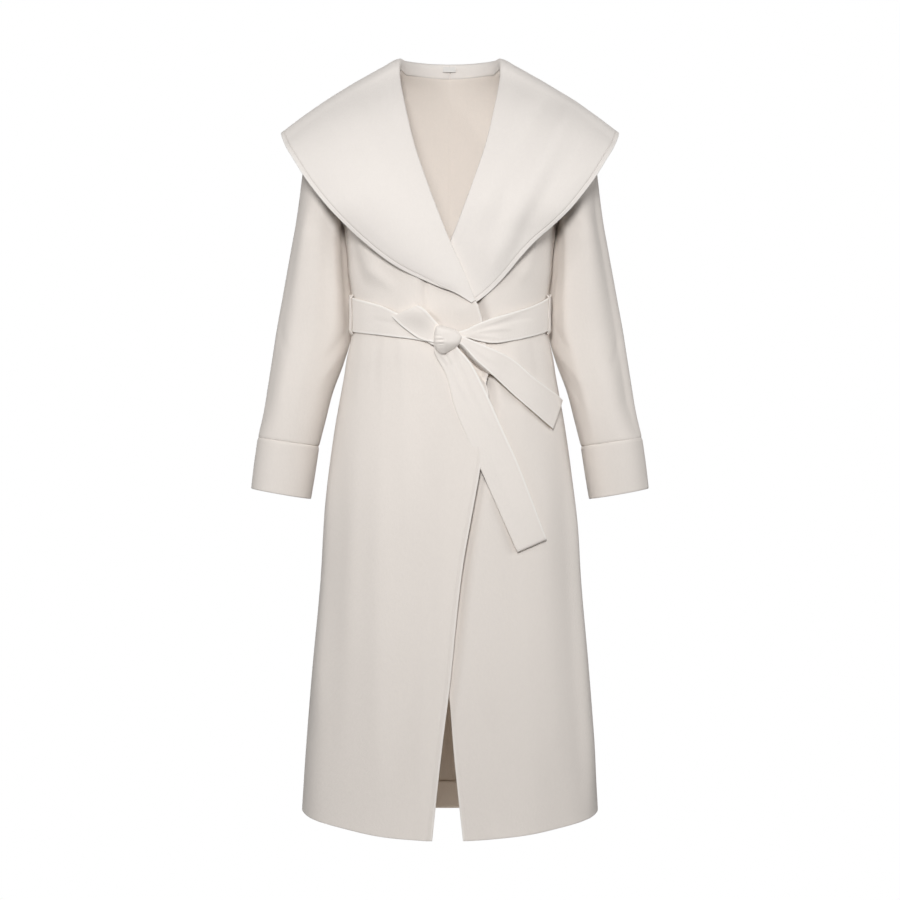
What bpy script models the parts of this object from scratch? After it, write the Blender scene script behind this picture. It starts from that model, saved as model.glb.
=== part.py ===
# Belted wrap coat, hollow, held in the pose of a garment being worn.
# Metres, +Z up, the front faces -Y and the wearer's left is +X.
# The origin is where the coat rests on the shoulders, level with the top of the
# collar roll, in the middle of the neck.
#
# Every cloth piece is an open surface worked out from the tables below and
# given its thickness by Solidify.  Tables are in millimetres.

import bpy
import bmesh
import math
import numpy as np

# ---------------------------------------------------------------- sizes (m)
WALL = 0.0022          # double-faced wool, one panel
SEAM = 0.0004          # distance between two pieces at a seam
NECK_BACK_Z = -0.0165  # level of the neck seam at centre back
FOLD_RADIUS = 0.0027   # outer radius of the collar where it turns over
UNDERARM = -0.235      # level of the armhole's lowest point
HEM = -1.168           # hem level at centre front and centre back
HEM_HIKE = 0.023       # how much higher the hem is at the side seams
NECK_X = 0.078         # half width of the neck opening at the shoulder
NECK_Z = -0.014        # level of the neck point
SHOULDER_X = 0.195     # half width at the sleeve head
SHOULDER_Z = -0.080    # level of the shoulder point
SHOULDER_Y = 0.003
LAP_SKIRT = 0.0030     # how far the over front stands off the under front
LAP_CHEST = 0.0072     # the same where the under collar lies between them
BELT_OUT = 0.0014      # clearance under the belt
BELT_WALL = 0.0024
HEM_TURN = 0.043       # depth of the turned-up hem
BACK_PANEL_COLUMNS = 10
FRONT_COLUMNS = 10
EDGE_INSET = 0.0062    # the front ends this far behind the collar fold
SLEEVE_SIDES = 16


def table(text):
    """Rows of numbers under named columns, as a dictionary of arrays."""
    lines = [l.split() for l in text.strip().splitlines()]
    data = np.array([[float(v) for v in l] for l in lines[1:]])
    return {name: data[:, i] for i, name in enumerate(lines[0])}


# Horizontal sections of the body below the underarm.
BODY = table("""
level  half  front  back
-235   165   118    108
-300   157   117    100
-363   150.5 113     94
-420   150.5 113     95
-474   160   119    107
-563   176   128    124
-673   190   137    137
-800   198   144    145
-920   209   150    151
-1040  218   156    157
-1168  226   161    161
""")

# Long soft folds of the skirt: angle from centre front (wearer's left is
# positive), height of the fold at the hem, angular width, level it starts at.
FOLDS = table("""
angle  rise  width  start
-62     4.5   13    -520
-26     5.5   12    -440
-2      3.0    9    -500
30      4.0   11    -560
58      4.5   12    -520
118     5.0   14    -480
150     6.0   13    -460
-116    5.5   14    -480
-148    5.0   12    -500
""")

# Armhole, by height above the underarm (0) up to the shoulder point (1).
ARMHOLE = table("""
rise  front_x  front_y  back_x  back_y
0     165       0       165      0
12    158     -34       160     36
30    151     -56       157     58
55    150     -62       158     66
78    162     -49       167     54
92    180     -27       184     31
100   195       3       195      3
""")

# Fold line of the collar and, below the belt, the free front edges.
EDGE = table("""
level  over   under
12     -78    78
-8     -77.5  76.5
-66    -69    67.5
-142   -52.5  52
-188   -37.5  36.5
-246   -16.5  14.5
-286   -1.5   1
-341   23.5   -24
-378   38.5   -38.5
-403   46     -43
-440   52.5   -45
-482   56     -44.5
-530   55     -43
-608   45.7   -36
-700   29.5   -28
-760   19     -21
-820   11.5   -14
-948   -1.5   -1.5
-1007  -9     3
-1080  -17.5  10
-1168  -26.5  19.5
""")

# Sections of the collar, from centre back round the neck to its tip: roll
# (fold) point, outer edge point and how far the fall bulges off the straight
# line between them.  From the sixth row on the roll lies on the front panel.
COLLAR = table("""
roll_x roll_y roll_z  edge_x edge_y edge_z  bulge
0       61.5    3      0      134   -206     20
26      57.5    3      92     128   -202     19
50      44.5    3      172     98   -182     17
67      24      2      226     55   -145     12
76      -1      0      257      6   -111      6
76.5    -22    -24     251    -30   -132      8
70      -47     -64    236    -56   -158     11
54.5    -74     -134   212    -79   -196     14
38      -94     -186   176   -98    -241     15
17.5    -110    -243   131   -101   -285     14
0       -119    -287   81    -114   -324     11
-22     -125    -336   25    -127   -352     6
-33     -127    -364   -6    -128   -364     2
-37.5   -128    -376   -32   -125   -379     0
""")
# How much lower the under half's edge runs before it passes below the over one.
UNDER_DROP = table("""
station drop
0       0
7       0
7.5     0
8       0
8.5     -2
9       -3
9.5     3
10      15
10.5    30
11      36
12      22
13      6
""")


# Sleeve rings below the armhole: inner and outer edge, half depth, how far
# behind the body's middle the ring sits, and how much its outer edge is raised.
SLEEVE = table("""
level  inner outer  depth aft  tilt
-272   158   241    64    24   2
-320   154.5 250    63    29   3
-367   151.5 258.5  62    32   4
-418   152.5 267.5  59    31   5
-457   163.5 273    57    26   5.5
-502   180   279.5  55    20   6
-545   191   286    52    15   6.5
-584   201   294.5  49    12   7
""")
CUFF = table("""
level  inner outer  depth aft  tilt
-584   201   294.5  49    12   7
-624   207   300    48    11   7.5
-663   213.5 304.5  47    10   8
""")

# Belt band: by angle from centre front, top and bottom level of the strip.
# Towards the knot the strip is gathered to a narrow bundle.
BAND = table("""
angle  top     bottom
-180   -352    -406
-120   -355    -409
-90    -361    -413.5
-70    -368    -418
-53    -375.5  -422
-38    -385    -426
-29    -394.5  -429
-18    -406    -432
-8     -414    -434
8      -419    -430.5
14     -411.5  -434
22     -403    -437.5
36     -392.5  -433.5
50     -383.5  -427
64     -373.5  -420.5
78     -364.5  -415
90     -360    -413
120    -355    -409
180    -352    -406
""")


# Hanging belt ends: left and right edge of the strip and its lift off the
# front beneath it, from the knot down.
LONG_TAIL = table("""
left_x left_z  right_x right_z  lift
-14    -456    13      -449     4.0
-6     -488    35      -470     4.5
7.5    -534    56      -514.5   5.5
29.5   -588    78      -567.5   6.0
51.5   -638    100     -616.5   7.0
75.5   -692    122     -672.5   9.0
100    -747    143.5   -729     13.0
""")
SHORT_TAIL = table("""
left_x left_z  right_x right_z  lift
20     -441    20.5    -428     11.0
38     -462.5  47      -440     8.5
56     -479    74      -452     7.0
74     -496    96.5    -464     6.0
97     -517    121.5   -485     6.0
127    -542    146     -502     5.5
155    -565    164     -516     5.0
""")

KNOT_CENTRE = (-0.004, -0.1400, -0.4355)
KNOT_SIZE = (0.042, 0.025, 0.040)

# Half-bow loop beside the knot: its middle line and the strip's half width.
LOOP = table("""
x     z      lift  half
-24   -428   4.2    9
-35   -417   4.4   15
-49   -405   4.4   18
-62   -395   4.6   18.6
-67   -391.5 6.8   18.6
-62   -395   9.2   18.6
-49   -405   9.8   18
-35   -417   9.8   15
-24   -428   9.2    9
""")


# ---------------------------------------------------------------- functions
def smooth(xs, ys, x):
    """Smooth curve through the points (xs, ys), xs in either direction."""
    xs, ys = np.asarray(xs, float), np.asarray(ys, float)
    if xs[0] > xs[-1]:
        xs, ys = xs[::-1], ys[::-1]
    x = float(min(max(x, xs[0]), xs[-1]))
    slope = np.gradient(ys, xs)
    i = int(min(np.searchsorted(xs, x, side="right") - 1, len(xs) - 2))
    h = xs[i + 1] - xs[i]
    t = (x - xs[i]) / h
    a, b = ys[i], ys[i + 1]
    m, n = slope[i] * h, slope[i + 1] * h
    return (2 * t**3 - 3 * t**2 + 1) * a + (t**3 - 2 * t**2 + t) * m \
        + (3 * t**2 - 2 * t**3) * b + (t**3 - t**2) * n


def ramp(a, b, x):
    t = min(max((x - a) / (b - a), 0.0), 1.0)
    return t * t * (3 - 2 * t)


def mm(tab, key, name, x):
    """Column name of a table at key = x metres, in metres."""
    return smooth(tab[key] / 1000, tab[name] / 1000, x)


def shoulder_line(x):
    t = (abs(x) - NECK_X) / (SHOULDER_X - NECK_X)
    return NECK_Z + t * (SHOULDER_Z - NECK_Z)


def armhole(side, rise):
    r = rise * 100
    x = smooth(ARMHOLE["rise"], ARMHOLE[side + "_x"], r) / 1000
    y = smooth(ARMHOLE["rise"], ARMHOLE[side + "_y"], r) / 1000
    return x, y


def upper_depth(x, z, side, out=0.0):
    """y of the chest or upper back at (x, z), above the underarm."""
    rise = (z - UNDERARM) / (shoulder_line(x) - UNDERARM)
    rise = min(max(rise, 0.0), 1.0)
    ax, ay = armhole(side, rise)
    a, front, back = section(UNDERARM)
    if side == "front":
        middle = -front * max(1 - rise ** 1.6, 0.0) ** 0.8 + SHOULDER_Y * rise
    else:
        middle = back * math.sqrt(max(1 - rise ** 2.0, 0.0)) + SHOULDER_Y * rise
    sign = -1 if side == "front" else 1
    w = min(abs(x) / (ax + out), 1.0)
    squared = ay + (middle + sign * out - ay) * math.sqrt(max(1 - w * w, 0.0))
    share = ay / middle if sign * middle > 0.001 else 1.0
    if share >= 0.97:
        return squared
    # low down, a plain ellipse through the armhole's point
    wide = ax / math.sqrt(1 - share * share) + out
    w = min(abs(x) / wide, 1.0)
    plain = (middle + sign * out) * math.sqrt(1 - w * w)
    return plain + (squared - plain) * ramp(0.50, 0.80, rise)


def section(z):
    return (mm(BODY, "level", "half", z), mm(BODY, "level", "front", z),
            mm(BODY, "level", "back", z))


def fold(angle, z):
    total = 0.0
    for a, rise, width, start in zip(FOLDS["angle"], FOLDS["rise"],
                                     FOLDS["width"], FOLDS["start"]):
        d = (math.degrees(angle) - a + 180) % 360 - 180
        total += rise / 1000 * math.exp(-(d / width) ** 2) \
            * ramp(start / 1000, HEM, z)
    return total


def body(angle, z, out=0.0):
    """Point of the skirt or waist at an angle from centre front."""
    a, front, back = section(z)
    s, c = math.sin(angle), math.cos(angle)
    out = out + fold(angle, z)
    depth = front if c > 0 else back
    low = ramp(-0.85, HEM, z)
    return ((a + out) * s, -(depth + out) * c, z + HEM_HIKE * s * s * low)


def angle_at(x, z, out=0.0):
    a = section(z)[0] + out
    return math.asin(min(max(x / a, -1.0), 1.0))


def front_y(x, z, out):
    """y of a surface lying out metres proud of the under front."""
    if z > UNDERARM:
        return upper_depth(x, z, "front", out)
    return body(angle_at(x, z, out), z, out)[1]


def lap(x, z):
    """Stand-off of the over front from the under front's surface."""
    edge = mm(EDGE, "level", "under", z)
    height = LAP_SKIRT + (LAP_CHEST - LAP_SKIRT) * ramp(-0.425, -0.385, z)
    return height * ramp(edge - 0.060, edge - 0.018, x)


def grid_object(name, rows, thickness, offset, closed=False, flip=False):
    """An open surface through rows of points, thickened by Solidify."""
    bm = bmesh.new()
    verts = [[bm.verts.new(p) for p in row] for row in rows]
    n = len(rows[0])
    for r in range(len(rows) - 1):
        for c in range(n if closed else n - 1):
            d = (c + 1) % n
            quad = [verts[r][c], verts[r + 1][c], verts[r + 1][d], verts[r][d]]
            bm.faces.new(quad[::-1] if flip else quad)
    mesh = bpy.data.meshes.new(name)
    bm.to_mesh(mesh)
    bm.free()
    mesh.shade_smooth()
    ob = bpy.data.objects.new(name, mesh)
    COAT.objects.link(ob)
    mod = ob.modifiers.new("Cloth", "SOLIDIFY")
    mod.thickness = thickness
    mod.offset = offset
    mod.use_rim = True
    mod.use_even_offset = False
    return ob


def material(name, colour, roughness):
    m = bpy.data.materials.new(name)
    m.use_nodes = True
    b = m.node_tree.nodes["Principled BSDF"]
    b.inputs["Base Color"].default_value = (*colour, 1)
    b.inputs["Roughness"].default_value = roughness
    b.inputs["Metallic"].default_value = 0.0
    return m


def finish(ob, colour=(0.80, 0.743, 0.692), roughness=0.85):
    ob.data.materials.append(material(ob.name + "_cloth", colour, roughness))
    return ob


# ---------------------------------------------------------------- clean start
for ob in list(bpy.data.objects):
    bpy.data.objects.remove(ob, do_unlink=True)
COAT = bpy.data.collections.new("wrap_coat")
bpy.context.scene.collection.children.link(COAT)

LOWER_LEVELS = [-0.235, -0.270, -0.305, -0.340, -0.375, -0.405, -0.435,
                -0.475, -0.54, -0.63, -0.75, -0.91, -1.07, HEM]
SLEEVE_LEVELS = [-0.272, -0.315, -0.367, -0.457, -0.502, -0.545, -0.584]
# heights of the armhole's points, shared by fronts, backs and sleeves
UPPER_RISES = [0.5 + 0.5 * math.cos(2 * math.pi * k / SLEEVE_SIDES)
               for k in range(SLEEVE_SIDES // 2)]
SHOULDER_GAP = 0.0012
# Each front, back and sleeve is two solids, which meet under the belt and at
# the elbow, so that every one of them is a simple wall.
WAIST_CUT = -0.390
ELBOW_CUT = -0.430


def two_parts(make_row, levels, cut, gap=SEAM):
    """Rows down to the cut, and the rows from there on."""
    above = [make_row(z) for z in levels if z > cut] \
        + [make_row(cut + 0.5 * gap)]
    below = [make_row(cut - 0.5 * gap)] \
        + [make_row(z) for z in levels if z < cut]
    return above, below


# ---------------------------------------------------------------- fronts
def front_panel(name, which):
    """Panel from its free edge (under the collar above) to the side seam, as
    a top and a skirt.

    which = "over" is the wearer's right front, on top; "under" the left.
    """
    sign = -1.0 if which == "over" else 1.0      # the side seam's side of x
    rows = []
    for rise in UPPER_RISES:
        ax, ay = armhole("front", rise)
        # the inner edge follows the fold line, a little behind it
        x = sign * NECK_X
        for _ in range(30):
            z = UNDERARM + rise * (shoulder_line(x) - UNDERARM)
            x = 0.5 * x + 0.5 * (mm(EDGE, "level", which, z)
                               + sign * (EDGE_INSET + 0.0014))
        row = []
        for c in range(FRONT_COLUMNS + 1):
            u = c / FRONT_COLUMNS
            px = x + (sign * ax - x) * u
            pz = UNDERARM + rise * (shoulder_line(px) - UNDERARM)
            out = lap(px, pz) if which == "over" else 0.0
            row.append((px, upper_depth(px, pz, "front", out), pz))
        row[-1] = (sign * ax, ay, row[-1][2])
        if rise == 1.0:
            row = [(px, y - SHOULDER_GAP, pz) for px, y, pz in row]
        rows.append(row)

    def low_row(z):
        xe = mm(EDGE, "level", which, z)
        if z > -0.385:
            xe += sign * EDGE_INSET
        a = section(z)[0]
        out_e = lap(xe, z) if which == "over" else 0.0
        start = angle_at(xe, z, out_e)
        end = sign * (math.pi / 2 - 1.5 * SEAM / a)
        row = []
        for c in range(FRONT_COLUMNS + 1):
            u = c / FRONT_COLUMNS
            ang = start + (end - start) * u
            out = 0.0
            if which == "over":
                out = lap(a * math.sin(ang), z)
            row.append(body(ang, z, out))
        return row

    above, below = two_parts(low_row, LOWER_LEVELS, WAIST_CUT)
    for part, lines in (("_top", rows + above), ("_skirt", below)):
        finish(grid_object(name + part, lines, WALL, -1.0,
                           flip=(which == "over")))


front_panel("front_right", "over")
front_panel("front_left", "under")


# ---------------------------------------------------------------- backs
def neckline_rise(x):
    """Where the back neckline cuts the upper back, as a share of its height."""
    if abs(x) >= NECK_X:
        return 1.0
    level = NECK_BACK_Z + (NECK_Z - NECK_BACK_Z) * (x / NECK_X) ** 2
    return (level - UNDERARM) / (shoulder_line(x) - UNDERARM)


def back_panel(name, sign):
    rows = []
    for rise in UPPER_RISES:
        ax, ay = armhole("back", rise)
        x0 = sign * 1.4 * SEAM
        row = []
        for c in range(BACK_PANEL_COLUMNS + 1):
            u = c / BACK_PANEL_COLUMNS
            px = x0 + (sign * ax - x0) * u
            # the rows dip towards the neckline
            r = rise * neckline_rise(px)
            pz = UNDERARM + r * (shoulder_line(px) - UNDERARM)
            row.append([px, upper_depth(px, pz, "back"), pz])
        row[-1][1] = ay
        if rise == 1.0:
            for p in row:
                p[1] += SHOULDER_GAP
        rows.append(row)

    def low_row(z):
        a, _, back = section(z)
        start = math.pi - 1.2 * SEAM / a
        end = math.pi / 2 + 1.5 * SEAM / a
        row = []
        for c in range(BACK_PANEL_COLUMNS + 1):
            u = c / BACK_PANEL_COLUMNS
            row.append(body(sign * (start + (end - start) * u), z))
        return row

    above, below = two_parts(low_row, LOWER_LEVELS, WAIST_CUT)
    for part, lines in (("_top", rows + above), ("_skirt", below)):
        finish(grid_object(name + part, lines, WALL, -1.0, flip=(sign > 0)))


back_panel("back_right", -1.0)
back_panel("back_left", 1.0)


# ---------------------------------------------------------------- hem inside
def hem_strip():
    rows = []
    steps = 14
    for k in range(3):
        z = HEM + 0.0015 + (k / 2) * (HEM_TURN - 0.0015)
        row = []
        for c in range(steps + 1):
            ang = math.radians(117 + 9 * c)
            row.append(body(ang, z, -WALL - 0.0010))
        rows.append(row)
    ob = grid_object("back_hem_turnup", rows, 0.0012, -1.0, flip=True)
    return finish(ob)


hem_strip()


# ---------------------------------------------------------------- sleeves
def ring(tab, i_level, sign, count=SLEEVE_SIDES, shrink=0.0):
    """Points of one sleeve ring, starting at the outer edge, going forward."""
    lv = i_level
    inner = mm(tab, "level", "inner", lv)
    outer = mm(tab, "level", "outer", lv)
    depth = mm(tab, "level", "depth", lv)
    aft = mm(tab, "level", "aft", lv)
    tilt = mm(tab, "level", "tilt", lv)
    cx, hw = (inner + outer) / 2, (outer - inner) / 2 - shrink
    pts = []
    for k in range(count):
        t = 2 * math.pi * k / count
        c, s = math.cos(t), math.sin(t)
        # slightly flattened on the side against the body
        x = cx + hw * c
        y = aft - (depth - shrink) * s
        pts.append((sign * x, y, lv + tilt * c))
    return pts


def armhole_loop(count=SLEEVE_SIDES):
    """Points of the armhole, from the shoulder point down the front."""
    pts = []
    for k in range(count):
        t = 2 * math.pi * k / count
        rise = 0.5 + 0.5 * math.cos(t)
        side = "front" if k <= count // 2 else "back"
        ax, ay = armhole(side, rise)
        z = UNDERARM + rise * (shoulder_line(ax) - UNDERARM)
        pts.append(np.array((ax, ay, z)))
    return pts


def sleeve(name, sign):
    head = armhole_loop()
    first = ring(SLEEVE, SLEEVE["level"][0] / 1000, 1.0)
    rows = []
    steps = 7
    middle = sum(head) / len(head)
    for j in range(steps):
        t = j / steps
        row = []
        for k in range(SLEEVE_SIDES):
            ang = 2 * math.pi * k / SLEEVE_SIDES
            top = 0.5 + 0.5 * math.cos(ang)
            a = head[k] + np.array((2 * SEAM + 0.0010 * top,
                                    0.010 * (head[k][1] - middle[1]), 0))
            h = np.array(first[k])
            span = np.linalg.norm(h - a)
            p1 = a + np.array((0.027 * top + 0.006 * (1 - top),
                               0.10 * (a[1] - middle[1]) + 0.006 * (1 - top),
                               -0.010 * top - 0.006 * (1 - top)))
            p2 = h + np.array((-0.016 * top, 0.0, 0.42 * span))
            q = ((1 - t) ** 3) * a + 3 * t * (1 - t) ** 2 * p1 \
                + 3 * t * t * (1 - t) * p2 + t ** 3 * h
            row.append((sign * q[0], q[1], q[2]))
        rows.append(row)
    above, below = two_parts(lambda lv: ring(SLEEVE, lv, sign),
                             SLEEVE_LEVELS, ELBOW_CUT, 1.5 * SEAM)
    for part, lines in (("_upper", rows + above), ("_lower", below)):
        finish(grid_object(name + part, lines, WALL, -1.0, closed=True,
                           flip=(sign > 0)))


def cuff(name, sign):
    rows = []
    for i, lv in enumerate(CUFF["level"] / 1000):
        row = ring(CUFF, lv, sign)
        if i == 0:
            row = [(x, y, z - SEAM) for x, y, z in row]
        rows.append(row)
    ob = grid_object(name, rows, WALL, -1.0, closed=True, flip=(sign > 0))
    return finish(ob)


sleeve("sleeve_right", -1.0)
sleeve("sleeve_left", 1.0)
cuff("cuff_right", -1.0)
cuff("cuff_left", 1.0)


# ---------------------------------------------------------------- collar
def back_neckline(x):
    """Outer face of the back neckline at x."""
    rise = neckline_rise(x)
    z = UNDERARM + rise * (shoulder_line(x) - UNDERARM)
    return np.array((x, upper_depth(x, z, "back"), z))


def panel_y(x, z, over):
    """Outer face of the front that a collar half lies on (wearer's left side
    coordinates; the over front is mirrored)."""
    if over:
        return front_y(-x, z, lap(-x, z))
    return front_y(x, z, 0.0)


def collar_section(station, over):
    """Profile of a collar half from the neck seam over the roll to its edge."""
    idx = np.arange(len(COLLAR["roll_x"]))
    get = lambda key: smooth(idx, COLLAR[key], station) / 1000
    roll = np.array((get("roll_x"), get("roll_y"), get("roll_z")))
    edge = np.array((get("edge_x"), get("edge_y"), get("edge_z")))
    bulge = get("bulge")
    if not over:
        edge[2] -= mm(UNDER_DROP, "station", "drop", station / 1000)
    on_front = ramp(4.6, 5.8, station)
    flat_y = panel_y(roll[0], roll[2], over) - 0.0009
    roll[1] += on_front * (flat_y - roll[1])
    along = edge - roll
    width = np.linalg.norm(along)
    along = along / width
    # outward direction, turning from back over the shoulder to the front
    turn = math.pi * (1 - min(station / 8, 1.0))
    ahead = np.array((0.15, -math.cos(turn), 0.9 * math.sin(turn) + 0.12))
    out = ahead - along * np.dot(ahead, along)
    out = out / np.linalg.norm(out)
    r = min(FOLD_RADIUS, width * 0.45)
    # neck seam: on the back neckline, then along the front's edge
    if station < 4.3:
        seam = back_neckline(NECK_X * min(station / 4.3, 1.0))
        seam[2] += 3.5 * SEAM - 0.0020 * ramp(2.5, 4.3, station)
        seam[1] -= WALL * (1 - ramp(3.0, 4.3, station))
        seam[0] -= 0.0028 * ramp(1.5, 4.3, station)
    else:
        neck = np.array((NECK_X - 0.0028, SHOULDER_Y, NECK_Z - 0.0012))
        low = roll + along * min(0.0030, 0.5 * width) - out * r
        seam = neck + (low - neck) * ramp(4.3, 5.6, station)
    lean = (seam - roll) / np.linalg.norm(seam - roll)
    low = ramp(4.5, 6.0, station)
    side = lean * (1 - low) + along * low
    p1 = roll - out * 0.7 * r + side * 0.3 * r
    p2 = roll - out * 0.97 * r + side * (0.003 * (1 - low) + 0.7 * r * low)
    pts = [seam, seam + (p2 - seam) * 0.5, p2, p1, roll,
           roll + out * 0.7 * r + along * 0.3 * r]
    for t in (0.0, 0.12, 0.30, 0.52, 0.76, 1.0):
        s = r + (width - r) * t
        lift = r * (1 - t) + 4 * t * (1 - t) * bulge
        pts.append(roll + along * s + out * lift)
    # keep the fall clear of the panel under it
    for i, p in enumerate(pts):
        if i < 6:
            continue
        t = min((i - 6) / 3, 1.0)
        if p[1] < -0.02 and abs(p[0]) < 0.16 and p[2] < -0.05:
            clear = panel_y(p[0], p[2], over) - WALL - 0.0015 - 0.0012 * t
            p[1] = min(p[1], clear)
        if not over and p[2] < -0.20:
            # the end of the under collar is pressed flat below the over front
            reach = p[0] - mm(EDGE, "level", "over", p[2])
            flat = front_y(p[0], p[2], 0.0034)
            p[1] += (flat - p[1]) * ramp(0.200, 0.280, -p[2]) \
                * (1 - ramp(0.006, 0.105, reach)) if p[1] < flat else 0.0
    sign = -1.0 if over else 1.0
    return [(sign * p[0], p[1], p[2]) for p in pts]


def collar(name, over):
    last = len(COLLAR["roll_x"]) - 1
    rows = []
    for s in np.linspace(0, last, 19):
        rows.append(collar_section(float(s), over))
    shift = 0.9 * SEAM * (-1 if over else 1)
    rows[0] = [(shift, y, z) for x, y, z in rows[0]]
    ob = grid_object(name, rows, WALL, -1.0, flip=over)
    return finish(ob, (0.812, 0.765, 0.724))


collar("collar_right", True)
collar("collar_left", False)


# ---------------------------------------------------------------- belt
def belt_out(x, z):
    """Stand-off of the belt's inner face from the under front's surface."""
    on_over = lap(min(x + 0.014, 0.050), z) * (1 - ramp(0.056, 0.100, x))
    return on_over + BELT_OUT + 0.0008 * ramp(-0.090, -0.060, x)


def belt_point(ang, z, more=0.0):
    a = section(z)[0]
    return body(ang, z, belt_out(a * math.sin(ang), z) + more)


def belt_band():
    rows = []
    deg = BAND["angle"]
    # two strips of one belt: the ends pass behind the knot
    for ang in np.linspace(-10, -350, 32):
        a = (ang + 180) % 360 - 180
        top = smooth(deg, BAND["top"], a) / 1000
        bottom = smooth(deg, BAND["bottom"], a) / 1000
        row = []
        for k in range(3):
            z = top + (bottom - top) * k / 2
            row.append(belt_point(math.radians(a), z))
        rows.append(row)
    ob = grid_object("belt_band", rows, BELT_WALL, 1.0, flip=False)
    return finish(ob, (0.838, 0.783, 0.733))


belt_band()


def tail(name, tab, base):
    """A hanging belt end: rows of the strip from the knot to its end."""
    n = len(tab["lift"])
    idx = np.arange(n)
    rows = []
    for s in np.linspace(0, n - 1, 2 * n - 1):
        get = lambda key: smooth(idx, tab[key], s) / 1000
        row = []
        for k in range(4):
            u = k / 3
            x = get("left_x") + (get("right_x") - get("left_x")) * u
            z = get("left_z") + (get("right_z") - get("left_z")) * u
            row.append((x, front_y(x, z, base + get("lift")), z))
        rows.append(row)
    ob = grid_object(name, rows, BELT_WALL, 1.0, flip=False)
    return finish(ob, (0.838, 0.783, 0.733))


tail("belt_tail_long", LONG_TAIL, LAP_SKIRT)
tail("belt_tail_short", SHORT_TAIL, LAP_SKIRT)


def loop():
    n = len(LOOP["x"])
    idx = np.arange(n)
    path = []
    for s in np.linspace(0, n - 1, 13):
        get = lambda key: smooth(idx, LOOP[key], s) / 1000
        path.append((get("x"), get("z"), get("lift"), get("half")))
    rows = []
    for i, (x, z, lift, half) in enumerate(path):
        # x and z across the strip, turning from the knot to the loop's end
        t = 1 - abs(i - 6) / 6
        across = np.array((0.37, 0.93)) * (1 - t) + np.array((0.93, 0.36)) * t
        across = across / np.linalg.norm(across)
        row = []
        for k in range(3):
            u = -1 + k
            px, pz = x + across[0] * half * u, z + across[1] * half * u
            out = belt_out(px, pz) + BELT_WALL + lift
            row.append((px, front_y(px, pz, out), pz))
        rows.append(row)
    ob = grid_object("belt_loop", rows, 0.0020, 1.0, flip=False)
    return finish(ob, (0.838, 0.783, 0.733))


loop()


def knot():
    bm = bmesh.new()
    bmesh.ops.create_cube(bm, size=1.0)
    for v in bm.verts:
        v.co = (v.co.x * KNOT_SIZE[0] * 1.25, v.co.y * KNOT_SIZE[1] * 1.25,
                v.co.z * KNOT_SIZE[2] * 1.25)
    mesh = bpy.data.meshes.new("belt_knot")
    bm.to_mesh(mesh)
    bm.free()
    mesh.shade_smooth()
    ob = bpy.data.objects.new("belt_knot", mesh)
    COAT.objects.link(ob)
    ob.location = KNOT_CENTRE
    ob.rotation_euler = (0, math.radians(12), 0)
    sub = ob.modifiers.new("Round", "SUBSURF")
    sub.levels = 2
    sub.render_levels = 2
    return finish(ob, (0.838, 0.783, 0.733))


knot()


# A belt carrier from its top end down: off the belt's inner face.
CARRIER = table("""
level  off
-356.0 0.2
-360.0 3.4
-363.5 5.2
-390.0 5.2
-416.8 5.2
-420.5 3.4
-424.5 0.2
""")


def carrier(name, sign):
    """Narrow loop at the side that the belt runs through."""
    rows = []
    for level, off in zip(CARRIER["level"], CARRIER["off"]):
        z = level / 1000
        more = off / 1000
        row = []
        for c in range(3):
            ang = sign * math.radians(74.0 + 3.0 * c)
            row.append(body(ang, z, BELT_OUT + more))
        rows.append(row)
    ob = grid_object(name, rows, 0.0012, 1.0, flip=(sign < 0))
    return finish(ob, (0.838, 0.783, 0.733))


carrier("belt_carrier_right", -1.0)
carrier("belt_carrier_left", 1.0)


def neck_label():
    """Blank size tab on the inside of the collar stand."""
    rows = []
    for k in range(3):
        z = 0.0 - 0.008 + 0.008 * k / 2 - 0.002
        rows.append([(x, 0.0566, z) for x in (-0.011, -0.004, 0.003, 0.009)])
    ob = grid_object("neck_label", rows, 0.0010, 1.0, flip=True)
    return finish(ob, (0.78, 0.75, 0.72))


neck_label()
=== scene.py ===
# Looks of the belted wrap coat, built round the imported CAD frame.
# Metres, +Z up, the front faces -Y and the wearer's left is +X.
import bpy
import bmesh
import math
import numpy as np
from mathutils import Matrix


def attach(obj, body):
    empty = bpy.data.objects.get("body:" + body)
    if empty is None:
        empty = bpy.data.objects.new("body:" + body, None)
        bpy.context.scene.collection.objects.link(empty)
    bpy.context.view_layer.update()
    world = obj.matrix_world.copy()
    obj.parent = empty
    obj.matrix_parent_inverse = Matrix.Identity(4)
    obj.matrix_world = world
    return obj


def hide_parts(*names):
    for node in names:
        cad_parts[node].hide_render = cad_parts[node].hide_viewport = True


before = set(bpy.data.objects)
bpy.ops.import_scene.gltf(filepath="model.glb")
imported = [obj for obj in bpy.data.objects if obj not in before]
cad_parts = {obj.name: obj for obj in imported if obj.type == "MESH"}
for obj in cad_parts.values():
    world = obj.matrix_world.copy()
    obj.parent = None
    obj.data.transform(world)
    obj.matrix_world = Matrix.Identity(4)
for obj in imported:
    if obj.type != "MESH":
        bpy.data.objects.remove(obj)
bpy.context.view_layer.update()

# ---------------------------------------------------------------- sizes (m)
WALL = 0.0022
SEAM = 0.0004
NECK_BACK_Z = -0.0165
FOLD_RADIUS = 0.0027
UNDERARM = -0.235
HEM = -1.168
HEM_HIKE = 0.023
NECK_X, NECK_Z = 0.078, -0.014
SHOULDER_X, SHOULDER_Z, SHOULDER_Y = 0.195, -0.080, 0.003
LAP_SKIRT, LAP_CHEST = 0.0030, 0.0072
BELT_OUT, BELT_WALL = 0.0014, 0.0024
HEM_TURN = 0.043
EDGE_INSET = 0.0062
INSIDE = 10.0


def table(text):
    """Rows of numbers under named columns, as a dictionary of arrays."""
    lines = [l.split() for l in text.strip().splitlines()]
    data = np.array([[float(v) for v in l] for l in lines[1:]])
    return {name: data[:, i] for i, name in enumerate(lines[0])}


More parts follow.
